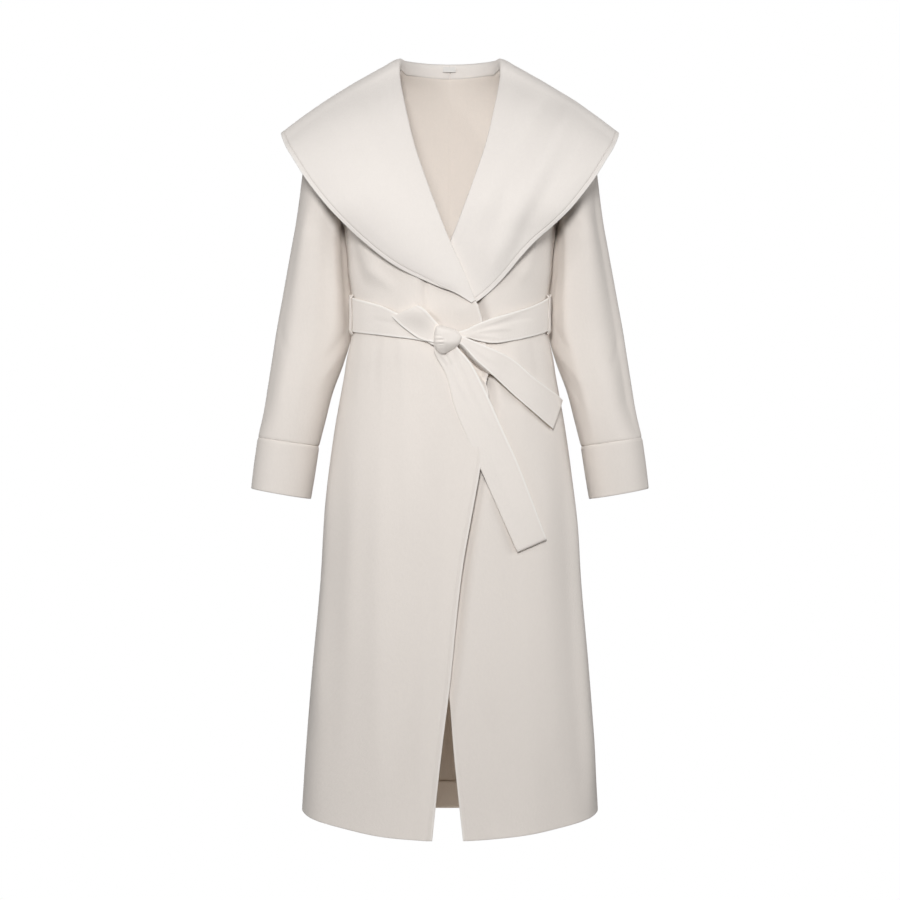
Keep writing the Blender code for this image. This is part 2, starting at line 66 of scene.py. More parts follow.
BODY = table("""
level  half  front  back
-235   165   118    108
-300   157   117    100
-363   150.5 113     94
-420   150.5 113     95
-474   160   119    107
-563   176   128    124
-673   190   137    137
-800   198   144    145
-920   209   150    151
-1040  218   156    157
-1168  226   161    161
""")
FOLDS = table("""
angle  rise  width  start
-62     4.5   13    -520
-26     5.5   12    -440
-2      3.0    9    -500
30      4.0   11    -560
58      4.5   12    -520
118     5.0   14    -480
150     6.0   13    -460
-116    5.5   14    -480
-148    5.0   12    -500
""")
ARMHOLE = table("""
rise  front_x  front_y  back_x  back_y
0     165       0       165      0
12    158     -34       160     36
30    151     -56       157     58
55    150     -62       158     66
78    162     -49       167     54
92    180     -27       184     31
100   195       3       195      3
""")
EDGE = table("""
level  over   under
12     -78    78
-8     -77.5  76.5
-66    -69    67.5
-142   -52.5  52
-188   -37.5  36.5
-246   -16.5  14.5
-286   -1.5   1
-341   23.5   -24
-378   38.5   -38.5
-403   46     -43
-440   52.5   -45
-482   56     -44.5
-530   55     -43
-608   45.7   -36
-700   29.5   -28
-760   19     -21
-820   11.5   -14
-948   -1.5   -1.5
-1007  -9     3
-1080  -17.5  10
-1168  -26.5  19.5
""")
COLLAR = table("""
roll_x roll_y roll_z  edge_x edge_y edge_z  bulge
0       61.5    3      0      134   -206     20
26      57.5    3      92     128   -202     19
50      44.5    3      172     98   -182     17
67      24      2      226     55   -145     12
76      -1      0      257      6   -111      6
76.5    -22    -24     251    -30   -132      8
70      -47     -64    236    -56   -158     11
54.5    -74     -134   212    -79   -196     14
38      -94     -186   176   -98    -241     15
17.5    -110    -243   131   -101   -285     14
0       -119    -287   81    -114   -324     11
-22     -125    -336   25    -127   -352     6
-33     -127    -364   -6    -128   -364     2
-37.5   -128    -376   -32   -125   -379     0
""")
# How much lower the under half's edge runs before it passes below the over one.
UNDER_DROP = table("""
station drop
0       0
7       0
7.5     0
8       0
8.5     -2
9       -3
9.5     3
10      15
10.5    28
11      33
12      22
13      6
""")
SLEEVE = table("""
level  inner outer  depth aft  tilt
-272   158   241    64    24   2
-320   154.5 250    63    29   3
-367   151.5 258.5  62    32   4
-418   152.5 267.5  59    31   5
-457   163.5 273    57    26   5.5
-502   180   279.5  55    20   6
-545   191   286    52    15   6.5
-584   201   294.5  49    12   7
""")
CUFF = table("""
level  inner outer  depth aft  tilt
-584   201   294.5  49    12   7
-624   207   300    48    11   7.5
-663   213.5 304.5  47    10   8
""")
BAND = table("""
angle  top     bottom
-180   -352    -406
-120   -355    -409
-90    -361    -413.5
-70    -368    -418
-53    -375.5  -422
-38    -385    -426
-29    -394.5  -429
-18    -406    -433
-12    -411    -437
-8     -415    -441
-4     -419    -443
4      -422    -431
8      -419    -430.5
14     -411.5  -434
22     -403    -437.5
36     -392.5  -433.5
50     -383.5  -427
64     -373.5  -420.5
78     -364.5  -415
90     -360    -413
120    -355    -409
180    -352    -406
""")
LONG_TAIL = table("""
left_x left_z  right_x right_z  lift
-24    -433    9       -433     12.0
-21    -456    11      -446     12.5
-5     -488    31      -470     12.5
7.5     -534    54      -514.5   11.5
29.5    -588    77.5    -567.5   10.0
51.5    -638    100     -616.5   8.5
75.5    -692    122     -672.5   7.0
100     -747    143.5   -729     6.0
""")
SHORT_TAIL = table("""
left_x left_z  right_x right_z  lift
10     -437    10.5    -427     14.0
20     -443    20.5    -430     14.0
38      -463    47      -441     11.5
56      -479    74      -452     8.5
74      -496    96.5    -464     5.4
97      -517    121.5   -485     3.8
127     -542    148     -504     2.8
142     -554.5  161.5   -512.5   2.4
155     -565    172     -521     2.4
""")
LOOP = table("""
x     z      lift  half  low
-18   -427   3.0   12    0.2
-35   -418   3.6   17    0.2
-49   -406.5 4.0   19.5  0.2
-62   -395.5 4.6   20    0.8
-67.5 -391   7.4   20    3.0
-62   -395.5 10.8  20    4.6
-50   -405.5 11.4  19.5  4.2
-35   -418   7.0   17    2.4
-18   -427   4.0   12    2.0
""")

# ------------------------------------------------------- creases
# Each row is one soft ridge (or trough, where high is negative) along a line,
# in millimetres seen from the front or back: its ends, how high it stands,
# how wide it is on its two sides, and how far its middle bows out.
FRONT_CREASES = table("""
x0    z0     x1    z1     high  wide_a wide_b bow
-137  -262   -106  -345    3.0    8     10     6
-122  -280   -84   -358    1.8    9      9     8
-143  -300   -126  -352   -1.6    7      7     3
131   -268   102   -345    1.3    8      7    -6
117   -290   82    -352   -0.9    8      8    -6
-34.5 -322 -34   -398   -4.0    3.2    3.8   0
-44   -330   -52   -392    1.2    8      6     2
17    -440   60    -505   -13.0   5.5    5.5   0
-46   -384   -16   -413   -5.0    3.5    4     0
12    -395   30    -372    0.9    5      6     2
-128  -425   -139  -520    0.5    5      7     2
-107  -424   -113  -505   -0.5    5      5     1
-96   -424   -99   -560    0.7    6      9     3
-82   -426   -80   -480   -0.4    4      4     0
-70   -428   -66   -540    0.5    5      8     2
-50   -432   -44   -500   -0.5    5      5     1
-28   -440   -24   -640    0.9    8     12     2
62    -440   70    -530    0.7    6      8     2
80    -436   90    -500   -0.6    5      5     1
96    -432   112   -560    0.9    6     10     3
122   -424   134   -500   -0.6    5      6     1
136   -420   150   -520    0.7    5      7     2
-98   -560   -88   -1150   3.2   22     30     6
-45   -700   -42   -1150  -2.6   20     18     0
-160  -640   -182  -1120  -2.2   20     16     0
-135  -560   -150  -900    1.4   18     16     4
40    -620   36    -1160   2.2   16     26     4
96    -640   102   -1150  -2.2   22     20     3
140   -620   160   -1100   2.0   18     18     4
-70   -900   -66   -1168  -1.2   12     14     2
60    -980   72    -1168  -1.6   12     14     2
-58   -560   -56   -1040   3.0   17     18     0
-12   -590   -16   -1040  -3.0   16     16     0
184   -640   208   -1150   9.0   10     26     2
-180  -620   -196  -1000   3.5   24     10     2
""")
BACK_CREASES = table("""
x0    z0     x1    z1     high  wide_a wide_b bow
-128  -250   -80   -350    1.6    9      9     8
-100  -240   -40   -345    1.1   10      8    10
118   -255   74    -348    1.5    9      8    -8
90    -238   30    -338   -1.0   10      9    -8
-20   -270   -14   -350    0.8    9      9     2
-118  -412   -130  -520    1.3    6      9     2
-92   -410   -98   -500   -1.0    5      6     2
-66   -408   -70   -560    1.6    7     10     3
-30   -408   -28   -500    1.0    6      8     2
-46   -408   -46   -470   -0.9    5      5     1
24    -408   28    -540    1.4    7      9     2
44    -408   48    -480   -1.0    5      5     1
72    -410   80    -560    1.5    7     10     3
104   -412   116   -500    1.1    6      8     2
-90   -560   -100  -1160   3.0   20     28     6
-35   -640   -30   -1160  -2.4   18     20     4
50    -580   62    -1160   3.0   24     20     5
120   -620   138   -1150  -2.2   20     18     4
-150  -640   -168  -1120  -1.8   18     16     4
150   -560   172   -1060   1.8   16     16     3
""")
# The same for sleeves: degrees round the sleeve (0 outside, 90 front,
# 180 inside, 270 back) and level.
SLEEVE_LEFT_CREASES = table("""
x0    z0     x1    z1     high  wide_a wide_b bow
122   -165   122   -600    5.0   13     13     2
28    -170   34   -615   -9.0   18     38     2
128   -240   124   -560   -1.6   16     18     0
150   -300   176   -430   -1.4    8      8     4
165   -395   120   -455   -1.2    6      7     4
172   -430   118   -500    1.2    7      7     4
176   -455   140   -520   -1.0    6      6     3
20    -420   62    -470   -0.8    8      8     4
280   -380   215   -440    1.3    8      9     5
290   -410   222   -478   -1.2    7      8     5
275   -450   210   -500    1.1    8      8     4
255   -200   262   -560    2.0   14     12     3
230   -240   234   -380   -1.6   10     10     2
""")
SLEEVE_RIGHT_CREASES = table("""
x0    z0     x1    z1     high  wide_a wide_b bow
58    -200   66    -590    1.8   14     13     2
34    -260   30    -560   -1.2   12     12     2
104   -300   110   -560   -0.9   10     12     0
122   -220   126   -420    3.2   10     12     2
156   -230   160   -430   -4.0   12     12     4
168   -400   120   -462   -1.1    6      7     4
172   -428   126   -492    1.0    7      7     4
24    -400   64    -452   -0.7    8      8     4
282   -372   220   -430    1.2    8      9     5
288   -408   218   -470   -1.2    7      8     5
252   -210   258   -570    1.8   14     13     3
226   -250   230   -400   -1.4   10     10     2
""")
# Collar halves, seen from the front; the over one is mirrored to +x.
COLLAR_OVER_CREASES = table("""
x0    z0     x1    z1     high  wide_a wide_b bow
96    -40    32    -262   -1.4   11     14    10
150   -60    70    -290    0.9   16     16    10
190   -100   120   -262   -0.8   14     14     6
60    -30    24    -236    0.5    7      8     6
""")
COLLAR_UNDER_CREASES = table("""
x0    z0     x1    z1     high  wide_a wide_b bow
190   -66    57   -342    4.4    14     15     4
150   -52    66   -270   -2.6    12     13     6
108   -56    40   -264    1.6    10     11     6
214   -108   92   -318   -2.6    13     14     6
222   -150   128   -298   1.3    12     12     2
""")
COLLAR_BACK_CREASES = table("""
x0    z0     x1    z1     high  wide_a wide_b bow
70    -10    96    -196    1.4   14     14     4
120   -30    150   -186   -1.4   14     12     4
34    -10    38    -200   -1.0   12     12     2
170   -60    196   -160    1.1   12     12     2
""")


# ---------------------------------------------------------------- functions
def smooth(xs, ys, x):
    """Smooth curve through the points (xs, ys), xs in either direction."""
    xs, ys = np.asarray(xs, float), np.asarray(ys, float)
    if xs[0] > xs[-1]:
        xs, ys = xs[::-1], ys[::-1]
    x = np.clip(np.asarray(x, float), xs[0], xs[-1])
    slope = np.gradient(ys, xs)
    i = np.clip(np.searchsorted(xs, x, side="right") - 1, 0, len(xs) - 2)
    h = xs[i + 1] - xs[i]
    t = (x - xs[i]) / h
    m, n = slope[i] * h, slope[i + 1] * h
    return (2 * t**3 - 3 * t**2 + 1) * ys[i] + (t**3 - 2 * t**2 + t) * m \
        + (3 * t**2 - 2 * t**3) * ys[i + 1] + (t**3 - t**2) * n


def ramp(a, b, x):
    t = np.clip((np.asarray(x, float) - a) / (b - a), 0.0, 1.0)
    return t * t * (3 - 2 * t)


def mm(tab, key, name, x):
    return smooth(tab[key] / 1000, tab[name] / 1000, x)


def ridges(tab, x, z):
    """Sum of a table's soft ridges at x, z (mm), in metres."""
    total = np.zeros(np.broadcast(x, z).shape)
    for i in range(len(tab["x0"])):
        x0, z0 = tab["x0"][i], tab["z0"][i]
        dx, dz = tab["x1"][i] - x0, tab["z1"][i] - z0
        length = math.hypot(dx, dz)
        t = ((x - x0) * dx + (z - z0) * dz) / length ** 2
        d = ((x - x0) * dz - (z - z0) * dx) / length
        d = d - tab["bow"][i] * 4 * t * (1 - t)
        w = np.where(d > 0, tab["wide_a"][i], tab["wide_b"][i])
        fade = ramp(-0.14, 0.20, t) * (1 - ramp(0.80, 1.14, t))
        total = total + tab["high"][i] * np.exp(-(d / w) ** 2) * fade
    return total / 1000


def shoulder_line(x):
    t = (np.abs(x) - NECK_X) / (SHOULDER_X - NECK_X)
    return NECK_Z + t * (SHOULDER_Z - NECK_Z)


def armhole(side, rise):
    r = rise * 100
    return (smooth(ARMHOLE["rise"], ARMHOLE[side + "_x"], r) / 1000,
            smooth(ARMHOLE["rise"], ARMHOLE[side + "_y"], r) / 1000)


def section(z):
    return (mm(BODY, "level", "half", z), mm(BODY, "level", "front", z),
            mm(BODY, "level", "back", z))


def upper_depth(x, z, side, out=0.0):
    """y of the chest or upper back at (x, z), above the underarm."""
    x, z = np.asarray(x, float), np.asarray(z, float)
    rise = np.clip((z - UNDERARM) / (shoulder_line(x) - UNDERARM), 0.0, 1.0)
    ax, ay = armhole(side, rise)
    a, front, back = section(UNDERARM)
    if side == "front":
        middle = -front * np.maximum(1 - rise ** 1.6, 0.0) ** 0.8 \
            + SHOULDER_Y * rise
    else:
        middle = back * np.sqrt(np.maximum(1 - rise ** 2.0, 0.0)) \
            + SHOULDER_Y * rise
    sign = -1 if side == "front" else 1
    w = np.minimum(np.abs(x) / (ax + out), 1.0)
    squared = ay + (middle + sign * out - ay) * np.sqrt(np.maximum(1 - w * w, 0))
    ok = sign * middle > 0.001
    share = np.where(ok, ay / np.where(ok, middle, 1.0), 1.0)
    low = share < 0.97
    root = np.sqrt(1 - np.where(low, share, 0.0) ** 2)
    w = np.minimum(np.abs(x) / (ax / root + out), 1.0)
    plain = (middle + sign * out) * np.sqrt(1 - w * w)
    return np.where(low, plain + (squared - plain) * ramp(0.50, 0.80, rise),
                    squared)


def fold(angle, z):
    total = np.zeros(np.broadcast(angle, z).shape)
    deg = np.degrees(angle)
    for a, rise, width, start in zip(FOLDS["angle"], FOLDS["rise"],
                                     FOLDS["width"], FOLDS["start"]):
        d = (deg - a + 180) % 360 - 180
        total = total + rise / 1000 * np.exp(-(d / width) ** 2) \
            * ramp(-start / 1000, -HEM, -z)
    return total


def body(angle, z, out=0.0):
    """Points of the skirt or waist at an angle from centre front."""
    angle, z = np.broadcast_arrays(np.asarray(angle, float),
                                   np.asarray(z, float))
    a, front, back = section(z)
    s, c = np.sin(angle), np.cos(angle)
    out = out + fold(angle, z)
    depth = np.where(c > 0, front, back)
    low = ramp(0.85, -HEM, -z)
    return np.stack([(a + out) * s, -(depth + out) * c,
                     z + HEM_HIKE * s * s * low], axis=-1)


def angle_at(x, z, out=0.0):
    return np.arcsin(np.clip(x / (section(z)[0] + out), -1.0, 1.0))


def front_y(x, z, out):
    """y of a surface lying out metres proud of the under front."""
    x, z, out = np.broadcast_arrays(np.asarray(x, float), np.asarray(z, float),
                                    np.asarray(out, float))
    high = upper_depth(x, z, "front", out)
    low = body(angle_at(x, z, out), z, out)[..., 1]
    return np.where(z > UNDERARM, high, low)


def lap(x, z):
    """Stand-off of the over front from the under front's surface."""
    edge = mm(EDGE, "level", "under", z)
    height = LAP_SKIRT + (LAP_CHEST - LAP_SKIRT) * ramp(-0.425, -0.385, z)
    d = x - edge
    return height * ramp(-0.060, -0.018, d)


def cinch(z):
    """The body draws in under the belt and eases out above and below it."""
    z = np.asarray(z, float)
    return 0.0016 * np.exp(-((z + 0.330) / 0.020) ** 2) \
        + 0.0012 * np.exp(-((z + 0.452) / 0.020) ** 2)


# ---------------------------------------------------------------- materials
def wool(name, colour, nap=1.0, mottle=0.03, line=0.0, depth=0.0005,
         rim=0.0):
    """Brushed double-faced wool: short soft fibres over a close twill.

    line is the distance of a row of stitches from the piece's edge; the edge
    map holds the length along the edge and the distance from it, in metres."""
    m = bpy.data.materials.new(name)
    m.use_nodes = True
    n, l = m.node_tree.nodes, m.node_tree.links
    b = n["Principled BSDF"]
    b.inputs["Roughness"].default_value = 0.92
    b.inputs["Specular IOR Level"].default_value = 0.18
    b.inputs["Sheen Weight"].default_value = 0.22
    b.inputs["Sheen Roughness"].default_value = 0.55
    b.inputs["Sheen Tint"].default_value = (1.0, 0.97, 0.93, 1)
    co = n.new("ShaderNodeTexCoord")

    def noise(scale, detail, stretch=(1, 1, 1), distort=0.0):
        mp = n.new("ShaderNodeMapping")
        mp.inputs["Scale"].default_value = stretch
        l.new(co.outputs["Object"], mp.inputs["Vector"])
        t = n.new("ShaderNodeTexNoise")
        t.inputs["Scale"].default_value = scale
        t.inputs["Detail"].default_value = detail
        t.inputs["Roughness"].default_value = 0.6
        t.inputs["Distortion"].default_value = distort
        l.new(mp.outputs["Vector"], t.inputs["Vector"])
        return t.outputs["Fac"]

    def maths(op, a, c):
        q = n.new("ShaderNodeMath")
        q.operation = op
        for i, v in enumerate((a, c)):
            if isinstance(v, (int, float)):
                q.inputs[i].default_value = v
            else:
                l.new(v, q.inputs[i])
        return q.outputs[0]

    broad = noise(5, 1)
    cloud = noise(260, 3, (1, 1, 0.6))
    fibre = noise(1500, 2, (1, 1, 0.45), 0.6)
    wave = n.new("ShaderNodeTexWave")
    wave.bands_direction = "DIAGONAL"
    wave.inputs["Scale"].default_value = 330
    wave.inputs["Distortion"].default_value = 2.5
    wave.inputs["Detail"].default_value = 1.0
    l.new(co.outputs["Object"], wave.inputs["Vector"])
    mix = n.new("ShaderNodeValToRGB")
    mix.color_ramp.elements[0].position = 0.25
    mix.color_ramp.elements[1].position = 0.75
    dark = tuple(c * (1 - mottle) for c in colour)
    light = tuple(min(c * (1 + mottle), 1.0) for c in colour)
    mix.color_ramp.elements[0].color = (*dark, 1)
    mix.color_ramp.elements[1].color = (*light, 1)
    blend = maths("ADD", maths("MULTIPLY", broad, 0.25),
                  maths("ADD", maths("MULTIPLY", cloud, 0.35),
                        maths("MULTIPLY", fibre, 0.40)))
    l.new(blend, mix.inputs["Fac"])
    height = maths("ADD", maths("MULTIPLY", fibre, 0.55),
                   maths("ADD", maths("MULTIPLY", cloud, 0.9),
                         maths("MULTIPLY", wave.outputs["Fac"], 0.18)))
    bump = n.new("ShaderNodeBump")
    bump.inputs["Strength"].default_value = 0.30 * nap
    bump.inputs["Distance"].default_value = 0.0011
    l.new(height, bump.inputs["Height"])
    if not line:
        l.new(mix.outputs["Color"], b.inputs["Base Color"])
        l.new(bump.outputs["Normal"], b.inputs["Normal"])
        return m
    at = n.new("ShaderNodeUVMap")
    at.uv_map = "edge"
    parts = n.new("ShaderNodeSeparateXYZ")
    l.new(at.outputs["UV"], parts.inputs["Vector"])
    off = maths("ABSOLUTE", maths("SUBTRACT", parts.outputs["Y"], line), 0.0)
    furrow = n.new("ShaderNodeMapRange")
    furrow.interpolation_type = "SMOOTHSTEP"
    furrow.inputs["From Min"].default_value = 0.0011
    furrow.inputs["From Max"].default_value = 0.0001
    l.new(off, furrow.inputs["Value"])
    # one stitch every 3.6 mm, lying in the furrow
    beat = maths("PINGPONG", parts.outputs["X"], 0.0018)
    dash = n.new("ShaderNodeMapRange")
    dash.interpolation_type = "SMOOTHSTEP"
    dash.inputs["From Min"].default_value = 0.0002
    dash.inputs["From Max"].default_value = 0.0006
    l.new(beat, dash.inputs["Value"])
    strand = n.new("ShaderNodeMapRange")
    strand.interpolation_type = "SMOOTHSTEP"
    strand.inputs["From Min"].default_value = 0.00045
    strand.inputs["From Max"].default_value = 0.00015
    l.new(off, strand.inputs["Value"])
    thread = maths("MULTIPLY", strand.outputs["Result"], dash.outputs["Result"])
    sink = maths("SUBTRACT", maths("MULTIPLY", thread, 0.45 * depth),
                 maths("MULTIPLY", furrow.outputs["Result"], depth))
    groove = n.new("ShaderNodeBump")
    groove.inputs["Strength"].default_value = 1.0
    groove.inputs["Distance"].default_value = 1.0
    l.new(sink, groove.inputs["Height"])
    l.new(bump.outputs["Normal"], groove.inputs["Normal"])
    l.new(groove.outputs["Normal"], b.inputs["Normal"])
    # painted shade: the base colour is darkened along the stitch furrow, where
    # shade falls
    shade = n.new("ShaderNodeMixRGB")
    shade.blend_type = "MULTIPLY"
    shade.inputs["Color2"].default_value = (0.80, 0.77, 0.74, 1)
    l.new(maths("MULTIPLY", furrow.outputs["Result"], min(900 * depth, 0.6)),
          shade.inputs["Fac"])
    l.new(mix.outputs["Color"], shade.inputs["Color1"])
    # painted highlight: the colour is made paler along the very edge, where its
    # rounded edge would catch the light
    edge_highlight = n.new("ShaderNodeMapRange")
    edge_highlight.interpolation_type = "SMOOTHSTEP"
    edge_highlight.inputs["From Min"].default_value = 0.0026
    edge_highlight.inputs["From Max"].default_value = 0.0010
    l.new(parts.outputs["Y"], edge_highlight.inputs["Value"])
    pale = n.new("ShaderNodeMixRGB")
    pale.inputs["Color2"].default_value = (0.93, 0.90, 0.86, 1)
    l.new(maths("MULTIPLY", edge_highlight.outputs["Result"], rim), pale.inputs["Fac"])
    l.new(shade.outputs["Color"], pale.inputs["Color1"])
    # painted light and shade on the inner face: its colour is brightened near the
    # neck and painted darker and browner, as shade, down in the skirt
    place = n.new("ShaderNodeSeparateXYZ")
    l.new(co.outputs["Object"], place.inputs["Vector"])
    deep = n.new("ShaderNodeMapRange")
    deep.interpolation_type = "SMOOTHSTEP"
    deep.inputs["From Min"].default_value = -0.45
    deep.inputs["From Max"].default_value = -0.85
    l.new(place.outputs["Z"], deep.inputs["Value"])
    inner_light_shade = n.new("ShaderNodeMixRGB")
    inner_light_shade.inputs["Color1"].default_value = (1.08, 1.062, 1.042, 1)
    inner_light_shade.inputs["Color2"].default_value = (0.88, 0.79, 0.69, 1)
    l.new(deep.outputs["Result"], inner_light_shade.inputs["Fac"])
    inner = n.new("ShaderNodeMapRange")
    inner.inputs["From Min"].default_value = 0.4 * INSIDE
    inner.inputs["From Max"].default_value = 0.6 * INSIDE
    l.new(parts.outputs["Y"], inner.inputs["Value"])
    tint = n.new("ShaderNodeMixRGB")
    tint.blend_type = "MULTIPLY"
    l.new(inner.outputs["Result"], tint.inputs["Fac"])
    l.new(pale.outputs["Color"], tint.inputs["Color1"])
    l.new(inner_light_shade.outputs["Color"], tint.inputs["Color2"])
    l.new(tint.outputs["Color"], b.inputs["Base Color"])
    return m


def tape(name, colour):
    m = bpy.data.materials.new(name)
    m.use_nodes = True
    n, l = m.node_tree.nodes, m.node_tree.links
    b = n["Principled BSDF"]
    b.inputs["Roughness"].default_value = 0.6
    b.inputs["Sheen Weight"].default_value = 0.1
    co = n.new("ShaderNodeTexCoord")
    wave = n.new("ShaderNodeTexWave")
    wave.bands_direction = "Z"
    wave.inputs["Scale"].default_value = 700
    l.new(co.outputs["Object"], wave.inputs["Vector"])
    mix = n.new("ShaderNodeValToRGB")
    mix.color_ramp.elements[0].color = (*[c * 0.85 for c in colour], 1)
    mix.color_ramp.elements[1].color = (*colour, 1)
    l.new(wave.outputs["Fac"], mix.inputs["Fac"])
    l.new(mix.outputs["Color"], b.inputs["Base Color"])
    bump = n.new("ShaderNodeBump")
    bump.inputs["Strength"].default_value = 0.3
    bump.inputs["Distance"].default_value = 0.0004
    l.new(wave.outputs["Fac"], bump.inputs["Height"])
    l.new(bump.outputs["Normal"], b.inputs["Normal"])
    return m


COAT_WOOL = wool("coat_wool", (0.800, 0.743, 0.692), line=0.0050,
                 depth=0.00006, rim=0.35)
COLLAR_WOOL = wool("collar_wool", (0.812, 0.765, 0.724), 0.9, line=0.0066,
                   depth=0.0004, rim=0.5)
# painted light: the belt is the coat's wool made paler to lift its tone
BELT_WOOL = wool("belt_wool", (0.838, 0.783, 0.733), 1.0, line=0.0042,
                 depth=0.00008, rim=0.7)
# painted light: the tag's colour is made paler to lift it out of the shade inside
# the neck
LABEL_TAPE = tape("label_tape", (0.84, 0.82, 0.79))


# ---------------------------------------------------------------- mesh tools
def shell(name, P, thick, centre, mat, closed=False,
          nodes=(), edge=None):
    """A cloth piece: P is its outer face as rows of points, thickened towards
    centre, with rounded edges.  edge is the distance along and from its worked
    edge at each point."""
    P = np.asarray(P, float)
    R, C, _ = P.shape
    if edge is None:
        edge = (0.0, 1.0)
    uv = np.stack(np.broadcast_arrays(*edge, np.zeros((R, C)))[:2], -1)
    dr = np.gradient(P, axis=0)
    if closed:
        dc = (np.roll(P, -1, axis=1) - np.roll(P, 1, axis=1)) / 2
    else:
        dc = np.gradient(P, axis=1)
    N = np.cross(dr, dc)
    size = np.linalg.norm(N, axis=-1, keepdims=True)
    N = N / np.maximum(size, 1e-12)
    if np.sum(N * (P - np.asarray(centre, float))) < 0:
        N = -N
    t = np.broadcast_to(np.asarray(thick, float), (R, C))[..., None]
    inner = P - N * t
    outer = P.copy()
    idx = np.arange(R * C).reshape(R, C)
    loops = []
    if closed:
        loops.append([(0, c) for c in range(C)])
        loops.append([(R - 1, c) for c in range(C)])
    else:
        loop = [(0, c) for c in range(C)] + [(r, C - 1) for r in range(1, R)] \
            + [(R - 1, c) for c in range(C - 2, -1, -1)] \
            + [(r, 0) for r in range(R - 2, 0, -1)]
        loops.append(loop)
    verts_extra, uv_extra, faces = [], [], []
    count = 2 * R * C
    for c in range(C if closed else C - 1):
        d = (c + 1) % C
        for r in range(R - 1):
            faces.append((idx[r, c], idx[r + 1, c], idx[r + 1, d], idx[r, d]))
            faces.append((idx[r, c] + R * C, idx[r, d] + R * C,
                          idx[r + 1, d] + R * C, idx[r + 1, c] + R * C))
    for loop in loops:
        rows = []
        E = []
        for r, c in loop:
            r2 = 1 if r == 0 else (R - 2 if r == R - 1 else r)
            if closed:
                c2 = c
            else:
                c2 = 1 if c == 0 else (C - 2 if c == C - 1 else c)
            e = P[r, c] - P[r2, c2]
            e = e - N[r, c] * np.dot(e, N[r, c])
            q = np.linalg.norm(e)
            E.append(e / q if q > 1e-9 else e)
        E = np.array(E)
        rr = [p[0] for p in loop]
        cc = [p[1] for p in loop]
        base, nn, tt = P[rr, cc], N[rr, cc], t[rr, cc]
        for depth, reach in ((0.27, 0.20), (0.50, 0.30), (0.73, 0.20)):
            rows.append(base - nn * tt * depth + E * tt * reach)
        outer[rr, cc] = base - nn * tt * 0.09 + E * tt * 0.03
        inner[rr, cc] = base - nn * tt * 0.91 + E * tt * 0.03
        n = len(loop)
        rings = [[idx[r, c] for r, c in loop]]
        for row in rows:
            rings.append(list(range(count, count + n)))
            verts_extra.append(row)
            uv_extra.append(uv[rr, cc])
            count += n
        rings.append([idx[r, c] + R * C for r, c in loop])
        for a, b in zip(rings, rings[1:]):
            for i in range(n):
                j = (i + 1) % n
                faces.append((a[i], a[j], b[j], b[i]))
    verts = np.concatenate([outer.reshape(-1, 3), inner.reshape(-1, 3)]
                           + verts_extra)
    uv = np.concatenate([uv.reshape(-1, 2), uv.reshape(-1, 2) + (0.0, INSIDE)]
                        + uv_extra)
    return finish(name, verts, faces, mat, nodes, uv)


def finish(name, verts, faces, mat, nodes=(), uv=None):
    mesh = bpy.data.meshes.new(name)
    mesh.from_pydata([tuple(v) for v in verts], [],
                     [tuple(int(i) for i in f) for f in faces])
    bm = bmesh.new()
    bm.from_mesh(mesh)
    bmesh.ops.recalc_face_normals(bm, faces=bm.faces)
    bm.to_mesh(mesh)
    bm.free()
    mesh.shade_smooth()
    if uv is None:
        uv = np.tile((0.0, 1.0), (len(verts), 1))
    at = np.empty(len(mesh.loops), np.int32)
    mesh.loops.foreach_get("vertex_index", at)
    layer = mesh.uv_layers.new(name="edge")
    layer.data.foreach_set("uv", np.asarray(uv, np.float32)[at].ravel())
    mesh.materials.append(mat)
    ob = bpy.data.objects.new(name, mesh)
    bpy.context.scene.collection.objects.link(ob)
    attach(ob, "root")
    if nodes:
        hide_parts(*nodes)
    return ob


FINE = np.array([0, 0.8, 1.8, 3.0, 4.2, 5.2, 6.0, 6.8, 7.6, 8.6, 10.4, 13]) / 1000


def columns(length, middle, start=True, end=True):
    """Distances along rows of the given lengths, close together at the ends
    that have a worked edge."""
    length = np.asarray(length, float)[:, None]
    part = np.minimum(1.0, 0.36 * length / FINE[-1])
    a = part * (FINE if start else np.array([0.0]))
    b = part * (FINE if end else np.array([0.0]))
    t = np.linspace(0, 1, middle + 2)[1:-1]
    rest = a[:, -1:] + (length - a[:, -1:] - b[:, -1:]) * t
    left = a
    right = length - b[:, ::-1]
    return np.concatenate([left, rest, right], axis=1)


def worked(distance, groove=0.0066, depth=0.0005, bead=0.0001):
    """Relief of a stitched edge at a distance from it: a faint bead, then a
    furrow drawn in by the stitches."""
    d = np.asarray(distance, float)
    return -depth * np.exp(-((d - groove) / 0.0012) ** 2) \
        + bead * ramp(0.0, 0.002, d) * (1 - ramp(groove - 0.002, groove, d))


def along(line):
    """Length along a line of points."""
    step = np.linalg.norm(np.diff(line, axis=0), axis=-1)
    return np.concatenate([[0.0], np.cumsum(step)])


def normals(P, centre, closed=False):
    dr = np.gradient(P, axis=0)
    dc = (np.roll(P, -1, 1) - np.roll(P, 1, 1)) / 2 if closed \
        else np.gradient(P, axis=1)
    N = np.cross(dr, dc)
    N = N / np.maximum(np.linalg.norm(N, axis=-1, keepdims=True), 1e-12)
    return -N if np.sum(N * (P - np.asarray(centre, float))) < 0 else N


AXIS = (0, 0.0, -0.5)

# ---------------------------------------------------------------- levels
UPPER = 1 - np.linspace(0, 1, 44)[:-1] ** 1.0
LOWER = np.concatenate([np.linspace(UNDERARM, -0.470, 48)[:-1],
                        np.linspace(-0.470, -1.120, 92)[:-1],
                        HEM + np.array([48, 42, 36, 30, 24, 18, 13, 10.4, 8.6,
                                        7.4, 6.2, 5.0, 4.0, 3.0, 1.8, 0.8,
                                        0]) / 1000])


